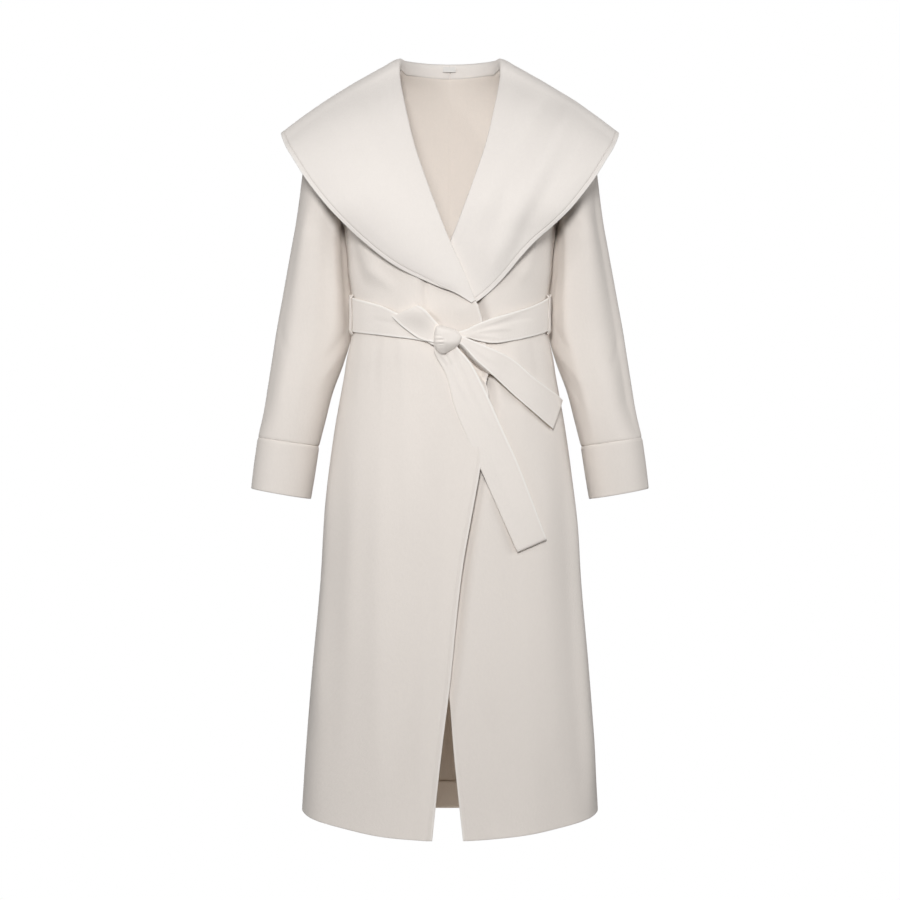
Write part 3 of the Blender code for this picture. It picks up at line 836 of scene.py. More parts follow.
def join_w(u, x0, ax, rise):
    """Spread of a row's columns: by angle low down, by width higher up."""
    t0 = np.arcsin(np.clip(x0 / ax, -1, 1))
    t1 = np.sign(ax) * math.pi / 2 if np.ndim(ax) == 0 else \
        np.sign(ax) * math.pi / 2
    s = (np.sin(t0 + (t1 - t0) * u) - np.sin(t0)) / (np.sin(t1) - np.sin(t0))
    b = ramp(0.0, 0.35, rise)
    return s * (1 - b) + u * b


# ---------------------------------------------------------------- fronts
def edge_lift(below, z):
    """The over front's free edge stands off the under front a little."""
    return np.exp(-below / 0.026) * (
        0.0062 * ramp(0.44, 0.54, -z) * (1 - 0.4 * ramp(0.74, 1.00, -z))
        + 0.0034 * ramp(0.365, 0.380, -z) * (1 - ramp(0.405, 0.425, -z))) \
        - 0.0030 * ramp(0.0065, 0.0, below) * ramp(0.46, 0.54, -z)


def hollow(x, z):
    """The under front sinks in where the over front's edge passes it."""
    d = x - mm(EDGE, "level", "over", z) - 0.003
    above = 1.3 * ramp(0.355, 0.375, -z) * (1 - ramp(0.405, 0.425, -z))
    below = ramp(0.43, 0.50, -z) * (1 - 0.6 * ramp(0.70, 1.00, -z))
    return -0.0120 * np.exp(-(d / np.where(d < 0, 0.030, 0.009)) ** 2) \
        * (above + below)


def front_panel(name, which, node):
    sign = -1.0 if which == "over" else 1.0
    rows = []
    e0 = []
    # upper rows
    xs, axs, ays = [], [], []
    for rise in UPPER:
        ax, ay = armhole("front", rise)
        x = sign * NECK_X
        for _ in range(30):
            z = UNDERARM + rise * (shoulder_line(x) - UNDERARM)
            x = 0.5 * x + 0.5 * (mm(EDGE, "level", which, z)
                               + sign * (EDGE_INSET + 0.0014))
        xs.append(float(x))
        axs.append(float(ax))
        ays.append(float(ay))
    xs, axs, ays = map(np.array, (xs, axs, ays))
    lens_up = np.abs(sign * axs - xs) * 1.15
    a_low = section(LOWER)[0]
    xe = mm(EDGE, "level", which, LOWER)
    xe = xe + sign * EDGE_INSET * (1 - ramp(0.368, 0.379, -LOWER))
    out_e = lap(xe, LOWER) if which == "over" else 0.0
    start = angle_at(xe, LOWER, out_e)
    end = sign * (math.pi / 2 - 1.5 * SEAM / a_low)
    lens_lo = np.abs(end - start) * a_low * 0.85
    D = columns(np.concatenate([lens_up, lens_lo]), 84, True, False)
    L = D[:, -1:]
    U = D / L
    nu = len(UPPER)
    u = U[:nu]
    w = join_w(u, xs[:, None], (sign * axs)[:, None], UPPER[:, None])
    px = xs[:, None] + (sign * axs - xs)[:, None] * w
    pz = UNDERARM + UPPER[:, None] * (shoulder_line(px) - UNDERARM)
    out = lap(px, pz) if which == "over" else np.zeros(px.shape)
    ease = np.clip((1 - np.abs(px) / axs[:, None]) / 0.10, 0, 1)
    relief = ridges(FRONT_CREASES, px * 1000, pz * 1000) * ease
    top = np.stack([px, upper_depth(px, pz, "front", out) - relief, pz], -1)
    top[0, :, 1] -= 0.0012
    ang = start[:, None] + (end - start)[:, None] * U[nu:]
    zz = LOWER[:, None] + 0 * ang
    out = lap(a_low[:, None] * np.sin(ang), zz) if which == "over" \
        else np.zeros(ang.shape)
    px = a_low[:, None] * np.sin(ang)
    facing = ramp(0.0, 0.35, np.cos(ang))
    below = D[nu:]
    out = out + ridges(FRONT_CREASES, px * 1000, zz * 1000) * facing \
        + cinch(zz) + (edge_lift(below, zz) if which == "over"
                       else hollow(px, zz))
    low = body(ang, zz, out)
    P = np.concatenate([top, low])
    return shell(name, P, WALL, AXIS, COAT_WOOL,
                 nodes=(node + "_top", node + "_skirt"),
                 edge=(along(P[:, 0])[:, None], D))


OVER = front_panel("coat_front_right", "over", "front_right")
UNDER = front_panel("coat_front_left", "under", "front_left")


# ---------------------------------------------------------------- backs
def neckline_rise(x):
    x = np.abs(np.asarray(x, float))
    level = NECK_BACK_Z + (NECK_Z - NECK_BACK_Z) * (x / NECK_X) ** 2
    return np.where(x >= NECK_X, 1.0,
                    (level - UNDERARM) / (shoulder_line(x) - UNDERARM))


def back_panel(name, sign, node):
    ax, ay = armhole("back", UPPER)
    a_low = section(LOWER)[0]
    start = math.pi + 0.0002 / a_low
    end = math.pi / 2 + 1.5 * SEAM / a_low
    lens = np.concatenate([ax * 1.1, (start - end) * a_low * 0.85])
    D = columns(lens, 46, True, False)
    U = D / D[:, -1:]
    nu = len(UPPER)
    x0 = -sign * 0.0002
    w = join_w(U[:nu], np.full((nu, 1), x0), (sign * ax)[:, None],
               UPPER[:, None])
    px = x0 + (sign * ax[:, None] - x0) * w
    r = UPPER[:, None] * neckline_rise(px)
    pz = UNDERARM + r * (shoulder_line(px) - UNDERARM)
    ease = np.clip((1 - np.abs(px) / ax[:, None]) / 0.10, 0, 1)
    relief = ridges(BACK_CREASES, px * 1000, pz * 1000) * ease
    seam = -0.0005 * np.exp(-(D / 0.0014) ** 2)
    top = np.stack([px, upper_depth(px, pz, "back") + relief + seam[:nu], pz],
                   -1)
    top[0, :, 1] += 0.0012
    ang = sign * (start[:, None] + (end - start)[:, None] * U[nu:])
    zz = LOWER[:, None] + 0 * ang
    px = a_low[:, None] * np.sin(ang)
    facing = ramp(0.0, 0.35, -np.cos(ang))
    out = ridges(BACK_CREASES, px * 1000, zz * 1000) * facing + cinch(zz) \
        + seam[nu:]
    P = np.concatenate([top, body(ang, zz, out)])
    return shell(name, P, WALL, AXIS, COAT_WOOL,
                 nodes=(node + "_top", node + "_skirt"))


BACK_R = back_panel("coat_back_right", -1.0, "back_right")
BACK_L = back_panel("coat_back_left", 1.0, "back_left")


def hem_strip():
    z = HEM + 0.0015 + np.linspace(0, 1, 14)[:, None] * (HEM_TURN - 0.0015)
    ang = np.radians(np.linspace(117, 243, 90))[None, :]
    px = section(z)[0] * np.sin(ang)
    out = ridges(BACK_CREASES, px * 1000, z * 1000 + 0 * px)
    P = body(ang, z, out - WALL - 0.0010)
    return shell("coat_hem_inside", P, 0.0012, AXIS, COAT_WOOL,
                 nodes=("back_hem_turnup",))


HEM_IN = hem_strip()


# ---------------------------------------------------------------- sleeves
SIDES = 96


def ring(tab, level, sign, t, out=0.0):
    inner, outer = mm(tab, "level", "inner", level), \
        mm(tab, "level", "outer", level)
    depth, aft = mm(tab, "level", "depth", level), mm(tab, "level", "aft", level)
    tilt = mm(tab, "level", "tilt", level)
    cx, hw = (inner + outer) / 2, (outer - inner) / 2
    c, s = np.cos(t), np.sin(t)
    return np.stack([sign * (cx + (hw + out) * c), aft - (depth + out) * s,
                     level + tilt * c + 0 * t], -1)


def sleeve(name, sign, creases, node):
    t = 2 * math.pi * np.arange(SIDES) / SIDES
    rise = 0.5 + 0.5 * np.cos(t)
    fx, fy = armhole("front", rise)
    bx, by = armhole("back", rise)
    front = t <= math.pi + 1e-9
    ax, ay = np.where(front, fx, bx), np.where(front, fy, by)
    head = np.stack([ax, ay, UNDERARM + rise * (shoulder_line(ax) - UNDERARM)],
                    -1)
    first = ring(SLEEVE, SLEEVE["level"][0] / 1000, 1.0, t)
    mid_y = ay.mean()
    top = rise[:, None]
    zero = np.zeros(SIDES)
    a = head + np.stack([2 * SEAM + 0.0010 * rise, 0.010 * (ay - mid_y), zero],
                        -1)
    span = np.linalg.norm(first - a, axis=1)
    p1 = a + np.stack([0.027 * rise + 0.006 * (1 - rise),
                       0.10 * (a[:, 1] - mid_y) + 0.006 * (1 - rise),
                       -0.010 * rise - 0.006 * (1 - rise)], -1)
    p2 = first + np.stack([-0.016 * rise, zero, 0.42 * span], -1)
    rows = []
    for k in np.linspace(0, 1, 30)[:-1]:
        rows.append((1 - k) ** 3 * a + 3 * k * (1 - k) ** 2 * p1
                    + 3 * k * k * (1 - k) * p2 + k ** 3 * first)
    levels = np.concatenate([np.linspace(-0.272, -0.574, 62),
                             [-0.5765, -0.579, -0.581, -0.5826, -0.584]])
    for lv in levels:
        rows.append(ring(SLEEVE, lv, 1.0, t))
    P = np.array(rows)
    deg = np.degrees(t)[None, :] + 0 * P[..., 2]
    z = P[..., 2] * 1000
    relief = ridges(creases, deg, z) + ridges(creases, deg - 360, z) \
        + ridges(creases, deg + 360, z)
    fade = np.ones(len(rows))
    fade[:30] = ramp(0.0, 0.8, np.linspace(0, 1, 30))
    fade[-16:] *= np.linspace(1, 0.25, 16)
    relief = relief * fade[:, None]
    groove = -0.0008 * np.exp(-((np.concatenate(
        [np.full(29, 1.0), levels + 0.584])) / 0.0018) ** 2)
    N = normals(P, (0.22, 0.02, -0.4), True)
    P = P + N * (relief + groove[:, None])[..., None]
    P[..., 0] *= sign
    return shell(name, P, WALL, (sign * 0.22, 0.02, -0.4), COAT_WOOL,
                 closed=True, nodes=(node + "_upper", node + "_lower"))


def cuff(name, sign, creases, node):
    t = 2 * math.pi * np.arange(SIDES) / SIDES
    levels = np.concatenate([-0.5844 - np.array([0, 0.8, 2, 3.4, 5, 7]) / 1000,
                             np.linspace(-0.595, -0.650, 14),
                             -0.663 + np.array([9, 7.4, 6.2, 5.0, 3.8, 2.6,
                                                1.2, 0]) / 1000])
    P = np.array([ring(CUFF, lv, 1.0, t) for lv in levels])
    deg = np.degrees(t)[None, :] + 0 * P[..., 2]
    relief = 0.25 * (ridges(creases, deg, -583 + 0 * deg)
                     + ridges(creases, deg - 360, -583 + 0 * deg))
    edge = -0.0007 * np.exp(-((levels + 0.5844) / 0.0016) ** 2)
    # a slight lift where the cuff is turned back on the seam
    edge = edge + 0.0007 * ramp(0.0, 0.006, -0.5844 - levels) * 0.6
    N = normals(P, (0.25, 0.01, -0.62), True)
    P = P + N * (relief + edge[:, None])[..., None]
    P[..., 0] *= sign
    return shell(name, P, WALL, (sign * 0.25, 0.01, -0.62), COAT_WOOL,
                 closed=True, nodes=(node,))


SLEEVE_L = sleeve("coat_sleeve_left", 1.0, SLEEVE_LEFT_CREASES, "sleeve_left")
SLEEVE_R = sleeve("coat_sleeve_right", -1.0, SLEEVE_RIGHT_CREASES,
                  "sleeve_right")
CUFF_L = cuff("coat_cuff_left", 1.0, SLEEVE_LEFT_CREASES, "cuff_left")
CUFF_R = cuff("coat_cuff_right", -1.0, SLEEVE_RIGHT_CREASES, "cuff_right")


# ---------------------------------------------------------------- collar
def back_neckline(x):
    z = UNDERARM + neckline_rise(x) * (shoulder_line(x) - UNDERARM)
    return np.array((x, float(upper_depth(x, z, "back")), float(z)))


def panel_y(x, z, over):
    if over:
        return float(front_y(-x, z, lap(-x, z)))
    return float(front_y(x, z, 0.0))


def collar_section(station, over):
    """Profile of a collar half from the neck seam over the roll to its edge."""
    idx = np.arange(len(COLLAR["roll_x"]))
    get = lambda key: float(smooth(idx, COLLAR[key], station)) / 1000
    roll = np.array((get("roll_x"), get("roll_y"), get("roll_z")))
    edge = np.array((get("edge_x"), get("edge_y"), get("edge_z")))
    bulge = get("bulge")
    if not over:
        edge[2] -= float(mm(UNDER_DROP, "station", "drop", station / 1000))
    on_front = float(ramp(4.6, 5.8, station))
    flat_y = panel_y(roll[0], roll[2], over) - 0.0009
    roll[1] += on_front * (flat_y - roll[1])
    along = edge - roll
    width = np.linalg.norm(along)
    along = along / width
    turn = math.pi * (1 - min(station / 8, 1.0))
    ahead = np.array((0.15, -math.cos(turn), 0.9 * math.sin(turn) + 0.12))
    out = ahead - along * np.dot(ahead, along)
    out = out / np.linalg.norm(out)
    r = min(FOLD_RADIUS, width * 0.45)
    if station < 4.3:
        seam = back_neckline(NECK_X * min(station / 4.3, 1.0))
        inside = 1 - float(ramp(3.7, 4.3, station))
        seam[2] += 3.5 * SEAM - 0.0020 * float(ramp(2.5, 4.3, station)) \
            - 0.0045 * inside
        y0 = float(upper_depth(seam[0], seam[2], "back"))
        fall = (float(upper_depth(seam[0], seam[2] - 0.001, "back")) - y0) \
            / 0.001
        face = y0 - WALL * math.hypot(1.0, fall) - 0.0003
        seam[1] += (face - seam[1]) * inside
        seam[0] -= 0.0028 * float(ramp(1.5, 4.3, station))
    else:
        neck = np.array((NECK_X - 0.0028, SHOULDER_Y, NECK_Z - 0.0012))
        low = roll + along * min(0.0030, 0.5 * width) - out * r
        seam = neck + (low - neck) * float(ramp(4.3, 5.6, station))
    lean = (seam - roll) / np.linalg.norm(seam - roll)
    low = float(ramp(4.5, 6.0, station))
    side = lean * (1 - low) + along * low
    p1 = roll - out * 0.7 * r + side * 0.3 * r
    p2 = roll - out * 0.97 * r + side * (0.003 * (1 - low) + 0.7 * r * low)
    pts = [seam, seam + (p2 - seam) * 0.5, p2, p1, roll,
           roll + out * 0.7 * r + along * 0.3 * r]
    for t in (0.0, 0.12, 0.30, 0.52, 0.76, 1.0):
        s = r + (width - r) * t
        lift = r * (1 - t) + 4 * t * (1 - t) * bulge
        pts.append(roll + along * s + out * lift)
    for i, p in enumerate(pts):
        if i < 6:
            continue
        t = min((i - 6) / 3, 1.0)
        if p[1] < -0.02 and abs(p[0]) < 0.16 and p[2] < -0.05:
            thin = 1 - (0.85 if over else 0.0) * float(ramp(8, 12, station))
            clear = panel_y(p[0], p[2], over) \
                - (WALL + 0.0012 + 0.0012 * t) * thin - 0.0003
            p[1] = min(p[1], clear)
        if not over and p[2] < -0.20:
            reach = p[0] - float(mm(EDGE, "level", "over", p[2]))
            flat = float(front_y(p[0], p[2], 0.0034))
            if p[1] < flat:
                p[1] += (flat - p[1]) * float(ramp(0.200, 0.280, -p[2])) \
                    * (1 - float(ramp(0.006, 0.105, reach)))
    return np.array(pts)


def resample(pts, fall, count):
    """A smooth profile through pts: the stand and roll, then the fall with
    points close together at its worked edge."""
    seg = np.linalg.norm(np.diff(pts, axis=0), axis=1)
    s = np.concatenate([[0], np.cumsum(seg)])
    total = s[-1]
    first = s[6]
    a = np.linspace(0, s[2], 8)[:-1]
    b = np.linspace(s[2], s[6], 9)[:-1]
    far = total - first
    fine = FINE * min(1.0, far * 0.45 / FINE[-1])
    c = first + (far - fine[-1]) * np.linspace(0, 1, count)[:-1]
    d = total - fine[::-1]
    q = np.concatenate([a, b, c, d])
    out = np.stack([smooth(s, pts[:, k], q) for k in range(3)], -1)
    return out, total - q


def collar(name, over, node):
    last = len(COLLAR["roll_x"]) - 1
    rows, dist = [], []
    stations = np.concatenate([np.linspace(0, 3, 60)[:-1],
                               np.linspace(3, 6, 80)[:-1],
                               np.linspace(6, last, 130)])
    for s in stations:
        row, d = resample(collar_section(float(s), over), None, 44)
        rows.append(row)
        dist.append(d)
    P = np.array(rows)
    D = np.array(dist)
    N = normals(P, (0.05, 0.0, -0.25))
    x, z = P[..., 0] * 1000, P[..., 2] * 1000
    ahead = ramp(3.6, 4.8, stations)[:, None]
    fall = np.zeros(P.shape[:2])
    fall[:, 17:] = ramp(0.0, 10.0, np.arange(P.shape[1] - 17))
    front = ridges(COLLAR_OVER_CREASES if over else COLLAR_UNDER_CREASES, x, z)
    back = ridges(COLLAR_BACK_CREASES, x, z)
    tip = 1 - ramp(last - 1.6, last - 0.4, stations)[:, None]
    relief = (front * ahead + back * (1 - ahead)) * fall * tip
    edge = worked(D, 0.0066, 0.0004, 0.0001) * ramp(0, 1, fall * 3) \
        * (1 - 0.8 * ramp(8.0, last, stations)[:, None])
    if not over:
        # nothing may rise where the over front lies on the under collar
        reach = P[..., 0] - mm(EDGE, "level", "over", P[..., 2])
        covered = ramp(0.200, 0.280, -P[..., 2])
        relief = relief * (1 - covered * (1 - ramp(0.0, 0.065, reach)))
    P = P + N * (relief + edge)[..., None]
    shift = 0.5 * SEAM
    P[0, :, 0] = shift
    if over:
        P[..., 0] *= -1
    thin = ramp(8.0, 12.0, stations)[:, None] if over else 0.0
    wall = WALL * (1 - 0.78 * thin * ramp(0.030, 0.004, D))
    # the row of stitches runs off the edge where the tip is sewn down
    off = 0.010 * ramp(10.4, 12.4, stations)[:, None]
    return shell(name, P, wall, ((-0.05 if over else 0.05), 0.0, -0.25),
                 COLLAR_WOOL, nodes=(node,),
                 edge=(along(P[:, -1])[:, None], D + off))


COLLAR_R = collar("coat_collar_right", True, "collar_right")
COLLAR_L = collar("coat_collar_left", False, "collar_left")


# ---------------------------------------------------------------- belt
BELT_CREASES = table("""
x0    z0     x1    z1     high  wide_a wide_b bow
16    -424   126   -378    0.9    3      5     2
18    -426   120   -398   -0.8    3      5    -2
18    -427   88    -416    1.0    3      4    -2
18    -429   70    -431    0.7    2.5    3    -2
-14   -424   -46   -410    0.9    3      4    -2
-16   -427   -110  -402   -0.6    4      5     2
-16   -430   -60   -420    0.8    3      3     1
-15   -433   -44   -429   -0.9    1.5    2     0.5
-15   -435.5 -40   -433    0.9    1.4    1.8   0
-14   -438   -36   -437   -0.8    1.3    1.6  -0.5
-13   -440.5 -30   -441    0.7    1.2    1.5  -1
""")


def belt_out(x, z):
    on_over = lap(np.minimum(x + 0.014, 0.050), z) * (1 - ramp(0.056, 0.100, x))
    return on_over + BELT_OUT + 0.0008 * (1 - ramp(0.060, 0.090, -x))


def gather(x):
    """The straps come forward where they run into the knot."""
    return 0.0072 * ramp(0.050, 0.014, np.abs(x))


def belt_band():
    a = np.concatenate([np.linspace(-4.5, -30, 70)[:-1],
                        np.linspace(-30, -330, 190)[:-1],
                        np.linspace(-330, -355.5, 70)])
    a = (a + 180) % 360 - 180
    top = smooth(BAND["angle"], BAND["top"], a) / 1000
    bottom = smooth(BAND["angle"], BAND["bottom"], a) / 1000
    width = top - bottom
    D = columns(width, 14)
    z = top[:, None] - D
    ang = np.radians(a)[:, None] + 0 * z
    x = section(z)[0] * np.sin(ang)
    front = np.cos(ang) > 0
    out = belt_out(x, z) + BELT_WALL + np.where(front, gather(x), 0)
    near = np.minimum(D, width[:, None] - D)
    relief = np.where(front, ridges(BELT_CREASES, x * 1000, z * 1000), 0)
    # the strap swells a little between its edges
    relief = relief + 0.0007 * np.sin(math.pi * D / width[:, None])
    P = body(ang, z, out + np.maximum(relief, -0.0008))
    return shell("belt_strap", P, BELT_WALL, AXIS, BELT_WOOL,
                 nodes=("belt_band",),
                 edge=(along(P[:, 0])[:, None], near))


BAND_OB = belt_band()


def tail(name, tab, base, creases, node, tilt=0.0, tuck=0.0):
    n = len(tab["lift"])
    idx = np.arange(n)
    s = np.linspace(0, n - 1, 130)
    lx, lz = smooth(idx, tab["left_x"], s), smooth(idx, tab["left_z"], s)
    rx, rz = smooth(idx, tab["right_x"], s), smooth(idx, tab["right_z"], s)
    lift = smooth(idx, tab["lift"], s) / 1000
    width = np.hypot(rx - lx, rz - lz) / 1000
    D = columns(width, 18)
    u = D / width[:, None]
    x = (lx[:, None] + (rx - lx)[:, None] * u) / 1000
    z = (lz[:, None] + (rz - lz)[:, None] * u) / 1000
    near = np.minimum(D, width[:, None] - D)
    relief = ridges(creases, x * 1000, z * 1000)
    settle = ramp(0.0, 0.25, s / (n - 1))
    lift = lift[:, None] * (1 - tilt * settle[:, None] * (1 - u))
    # past the over front the cloth lies on the under front
    base = base * (1 - (0.85 if tuck else 0.6) * ramp(0.004, 0.040, x - mm(
        EDGE, "level", "over", z)))
    y = front_y(x, z, base + lift + BELT_WALL + relief)
    P = np.stack([x, y, z], -1)
    if tuck:
        # the cloth turns back under the left edge near the knot
        share = 1 - ramp(0.30, 0.46, s / (n - 1))
        k = np.linspace(1, 0, 9)[:-1]
        first = P[:, :1]
        turn = np.array((-0.55, 0.0, -0.83)) * 0.0068 * (1 - (1 - k) ** 2)[
            None, :, None] + np.array((0.0, 1.0, 0.0)) * tuck * (
            k ** 1.4)[None, :, None]
        P = np.concatenate([first + turn * share[:, None, None], P], axis=1)
        near = np.concatenate([np.full((len(s), len(k)), 0.02), near], axis=1)
    if tilt:
        near = np.minimum(D + 0.003, width[:, None] - D)
    return shell(name, P, BELT_WALL, AXIS, BELT_WOOL,
                 nodes=(node,), edge=(along(P[:, -1])[:, None], near))


LONG_CREASES = table("""
x0    z0     x1    z1     high  wide_a wide_b bow
-2    -452   24    -520    1.2    4      5     2
4     -450   44    -540   -0.9    4      5     1
12    -454   60    -560    0.9    5      5     2
-20    -438   -3    -470    1.0    2.2    2.6   1
-15    -437   4     -476    -1.0   2      2.4   1
-23    -446   -8    -472    -0.8   2      2.2   0
60    -600   104   -700    0.8   10     12     2
""")
SHORT_CREASES = table("""
x0    z0     x1    z1     high  wide_a wide_b bow
24    -437   66    -466    0.7    4      5     2
24    -441   88    -490   -0.6    5      5     2
60    -470   140   -528    0.8    8      8     2
""")
LONG = tail("belt_end_long", LONG_TAIL, LAP_SKIRT, LONG_CREASES,
            "belt_tail_long", 0.88)
SHORT = tail("belt_end_short", SHORT_TAIL, LAP_SKIRT, SHORT_CREASES,
             "belt_tail_short", tuck=0.024)


def loop():
    n = len(LOOP["x"])
    idx = np.arange(n)
    s = np.linspace(0, n - 1, 90)
    x, z = smooth(idx, LOOP["x"], s), smooth(idx, LOOP["z"], s)
    lift, half = smooth(idx, LOOP["lift"], s) / 1000, \
        smooth(idx, LOOP["half"], s)
    low = smooth(idx, LOOP["low"], s) / 1000
    t = (1 - np.abs(np.linspace(-1, 1, 90)))[:, None]
    across = np.array((0.37, 0.93)) * (1 - t) + np.array((0.93, 0.36)) * t
    across = across / np.linalg.norm(across, axis=1, keepdims=True)
    width = 2 * half / 1000
    D = columns(width, 12)
    u = (D / width[:, None] * 2 - 1) * half[:, None]
    px = (x[:, None] + across[:, :1] * u) / 1000
    pz = (z[:, None] + across[:, 1:] * u) / 1000
    near = np.minimum(D, width[:, None] - D)
    # its lower edge lies on the strap, its upper edge stands open
    stand = ramp(-0.9, 0.7, u / half[:, None])
    lift = low[:, None] + (lift - low)[:, None] * stand
    out = belt_out(px, pz) + BELT_WALL + gather(px) + lift
    P = np.stack([px, front_y(px, pz, out + 0.0020), pz], -1)
    return shell("belt_bow_loop", P, 0.0005 + 0.0015 * stand, AXIS, BELT_WOOL,
                 nodes=("belt_loop",),
                 edge=(along(P[:, 0])[:, None], near))


LOOP_OB = loop()

KNOT_CREASES = table("""
x0    z0     x1    z1     high  wide_a wide_b bow
-26   -427.5 -13   -429   -0.9    1.1    1.3   0.4
-26   -431   -11   -432.5  0.5    1.2    1.4   0.3
-25   -434.5 -9    -435   -1.0    1.1    1.3   0.2
-24   -438   -9    -438    0.5    1.2    1.4   0
-23   -441.5 -8    -441   -1.0    1.1    1.3  -0.3
-21   -445   -9    -444   -0.7    1.1    1.2  -0.3
17    -419   17.6  -443    1.5    1.6    1.8   0
2     -420   -14   -427    0.7    5      6     2
""")
# Outline of the knot round its middle: a folded band, pinched at the right.
KNOT_EDGE = table("""
angle radius
-180  19.5
-150  21.5
-125  23.5
-104  24.0
-82   20.0
-60   18.6
-35   19.2
-12   20.8
8     21.6
26    19.8
45    18.2
70    17.0
92    17.6
112   20.6
130   24.4
150   21.6
168   19.9
180   19.5
""")


def knot():
    cx, cz = -0.0044, -0.4324
    deg = np.linspace(-180, 180, 133)[:-1]
    fi = np.radians(deg)
    r = smooth(KNOT_EDGE["angle"], KNOT_EDGE["radius"], deg) / 1000
    rho = np.sin(np.linspace(0.02, math.pi / 2, 34))
    rows = []
    for q in rho:
        x = cx + r * q * np.cos(fi)
        z = cz + r * q * np.sin(fi)
        dome = 0.0155 * (1 - q ** 3.6) ** 0.5
        dome = dome * (1 - 0.45 * ramp(0.004, 0.024, cz - z))
        # the right end is drawn back into the pinch
        back = 0.0060 * ramp(0.0, 0.022, x - cx)
        y = -0.1310 - dome + back * (1 - q * q)
        rows.append(np.stack([x, y, z], -1))
    P = np.array(rows)
    relief = ridges(KNOT_CREASES, P[..., 0] * 1000, P[..., 2] * 1000)
    P[..., 1] -= relief
    back = []
    for q in rho[::-1][1:]:
        x = cx + r * q * np.cos(fi)
        z = cz + r * q * np.sin(fi)
        y = -0.1310 + 0.0030 * (1 - q * q)
        back.append(np.stack([x, np.broadcast_to(y, x.shape), z], -1))
    P = np.concatenate([P, np.array(back)])
    R, C, _ = P.shape
    idx = np.arange(R * C).reshape(R, C)
    faces = [(idx[r, c], idx[r + 1, c], idx[r + 1, (c + 1) % C],
              idx[r, (c + 1) % C]) for r in range(R - 1) for c in range(C)]
    faces.append(tuple(idx[0, ::-1]))
    faces.append(tuple(idx[R - 1]))
    return finish("belt_knot_front", P.reshape(-1, 3), faces, BELT_WOOL,
                  ("belt_knot",))


KNOT = knot()


# A belt carrier from its top end down: off the belt's inner face.
CARRIER = table("""
level  off
-361.5 0.3
-363.5 1.6
-366.0 3.3
-371.0 3.9
-390.0 4.0
-411.0 3.9
-416.5 3.3
-419.5 1.6
-421.5 0.3
""")


def carrier(name, sign, node):
    z = np.linspace(-0.3615, -0.4215, 60)
    more = mm(CARRIER, "level", "off", z)
    ang = sign * np.radians(np.linspace(74.0, 80.0, 14))
    P = body(ang[None, :], z[:, None], (BELT_OUT + more)[:, None] + 0.0012)
    return shell(name, P, 0.0012, AXIS, BELT_WOOL,
                 nodes=(node,))


CARRIER_R = carrier("belt_carrier_strip_right", -1.0, "belt_carrier_right")
CARRIER_L = carrier("belt_carrier_strip_left", 1.0, "belt_carrier_left")


def label():
    z = np.linspace(-0.0098, -0.0022, 12)
    x = np.linspace(-0.0108, 0.0088, 22)
    P = np.stack(np.broadcast_arrays(
        x[None, :], 0.0556 + 0.0002 * np.sin(x * 300)[None, :], z[:, None]), -1)
    return shell("neck_tab", P, 0.0007, (0, 0.2, 0), LABEL_TAPE,
                 nodes=("neck_label",))


LABEL = label()


# ---------------------------------------------------------------- the studio
scene = bpy.context.scene
scene.view_settings.view_transform = "Standard"
scene.view_settings.look = "None"
scene.view_settings.exposure = 0.0
scene.view_settings.gamma = 1.0

world = bpy.data.worlds.new("studio")
scene.world = world
world.use_nodes = True
wn, wl = world.node_tree.nodes, world.node_tree.links
bg = wn["Background"]
bg.inputs["Color"].default_value = (1, 1, 1, 1)
bg.inputs["Strength"].default_value = 0.03
white = wn.new("ShaderNodeBackground")
white.inputs["Color"].default_value = (1, 1, 1, 1)
white.inputs["Strength"].default_value = 1.0
path = wn.new("ShaderNodeLightPath")
mixer = wn.new("ShaderNodeMixShader")
wl.new(path.outputs["Is Camera Ray"], mixer.inputs["Fac"])
wl.new(bg.outputs["Background"], mixer.inputs[1])
wl.new(white.outputs["Background"], mixer.inputs[2])
wl.new(mixer.outputs["Shader"], wn["World Output"].inputs["Surface"])

# pale floor, a disc that fades out to the background
mesh = bpy.data.meshes.new("floor")
pts = [(2.2 * math.cos(a), 2.2 * math.sin(a), -1.42)
       for a in np.linspace(0, 2 * math.pi, 97)[:-1]]
mesh.from_pydata(pts, [], [tuple(range(96))])
floor = bpy.data.objects.new("floor", mesh)
scene.collection.objects.link(floor)
fm = bpy.data.materials.new("floor_paper")
fm.use_nodes = True
n, l = fm.node_tree.nodes, fm.node_tree.links
pr = n["Principled BSDF"]
pr.inputs["Base Color"].default_value = (0.94, 0.935, 0.93, 1)
pr.inputs["Roughness"].default_value = 0.9
tc = n.new("ShaderNodeTexCoord")
ln = n.new("ShaderNodeVectorMath")
ln.operation = "LENGTH"
flatten = n.new("ShaderNodeMapping")
flatten.inputs["Scale"].default_value = (1, 1, 0)
l.new(tc.outputs["Object"], flatten.inputs["Vector"])
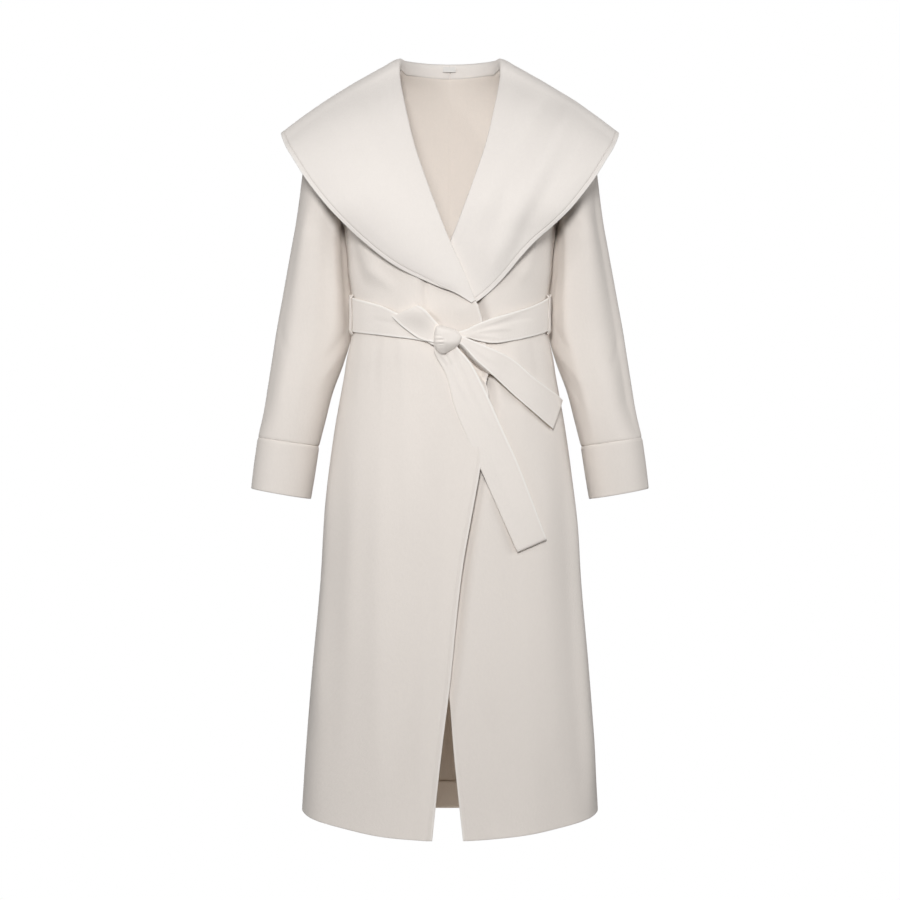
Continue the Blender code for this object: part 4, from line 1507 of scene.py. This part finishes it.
l.new(flatten.outputs["Vector"], ln.inputs[0])
mr = n.new("ShaderNodeMapRange")
mr.inputs["From Min"].default_value = 0.25
mr.inputs["From Max"].default_value = 0.62
mr.interpolation_type = "SMOOTHSTEP"
l.new(ln.outputs["Value"], mr.inputs["Value"])
clear = n.new("ShaderNodeBsdfTransparent")
fmix = n.new("ShaderNodeMixShader")
l.new(mr.outputs["Result"], fmix.inputs["Fac"])
l.new(pr.outputs["BSDF"], fmix.inputs[1])
l.new(clear.outputs["BSDF"], fmix.inputs[2])
l.new(fmix.outputs["Shader"], n["Material Output"].inputs["Surface"])
mesh.materials.append(fm)


def lamp(name, place, aim, size, power):
    data = bpy.data.lights.new(name, "AREA")
    data.shape = "DISK"
    data.size = size
    data.energy = power
    ob = bpy.data.objects.new(name, data)
    ob.location = place
    d = np.array(aim, float) - np.array(place, float)
    yaw = math.atan2(d[1], d[0])
    pitch = math.atan2(-d[2], math.hypot(d[0], d[1]))
    ob.rotation_euler = (math.pi / 2 - pitch, 0, yaw - math.pi / 2)
    ob.visible_camera = False
    scene.collection.objects.link(ob)
    return ob


lamp("key", (-0.10, -2.36, 0.1), (0.0, 0.0, -0.5), 0.5, 42)
lamp("left_key", (-1.5, -1.9, 0.3), (0.0, 0.0, -0.5), 0.25, 4.0)
lamp("high", (0.2, -2.0, 1.2), (0.0, 0.0, -0.5), 1.0, 8)
lamp("left_side", (-2.8, -0.5, 0.0), (0.0, 0.0, -0.5), 1.6, 20)
lamp("right_side", (2.8, -0.35, 0.0), (0.0, 0.0, -0.5), 1.6, 27)
lamp("back_light", (0.0, 2.8, 0.6), (0.0, 0.0, -0.5), 2.0, 60)

cam_data = bpy.data.cameras.new("camera")
cam_data.sensor_width = 36
cam_data.lens = 36 * 2353 / 900
cam_data.clip_start = 0.05
cam = bpy.data.objects.new("camera", cam_data)
cam.location = (0, -3.6, -0.5967)
cam.rotation_euler = (math.pi / 2, 0, 0)
scene.collection.objects.link(cam)
scene.camera = cam
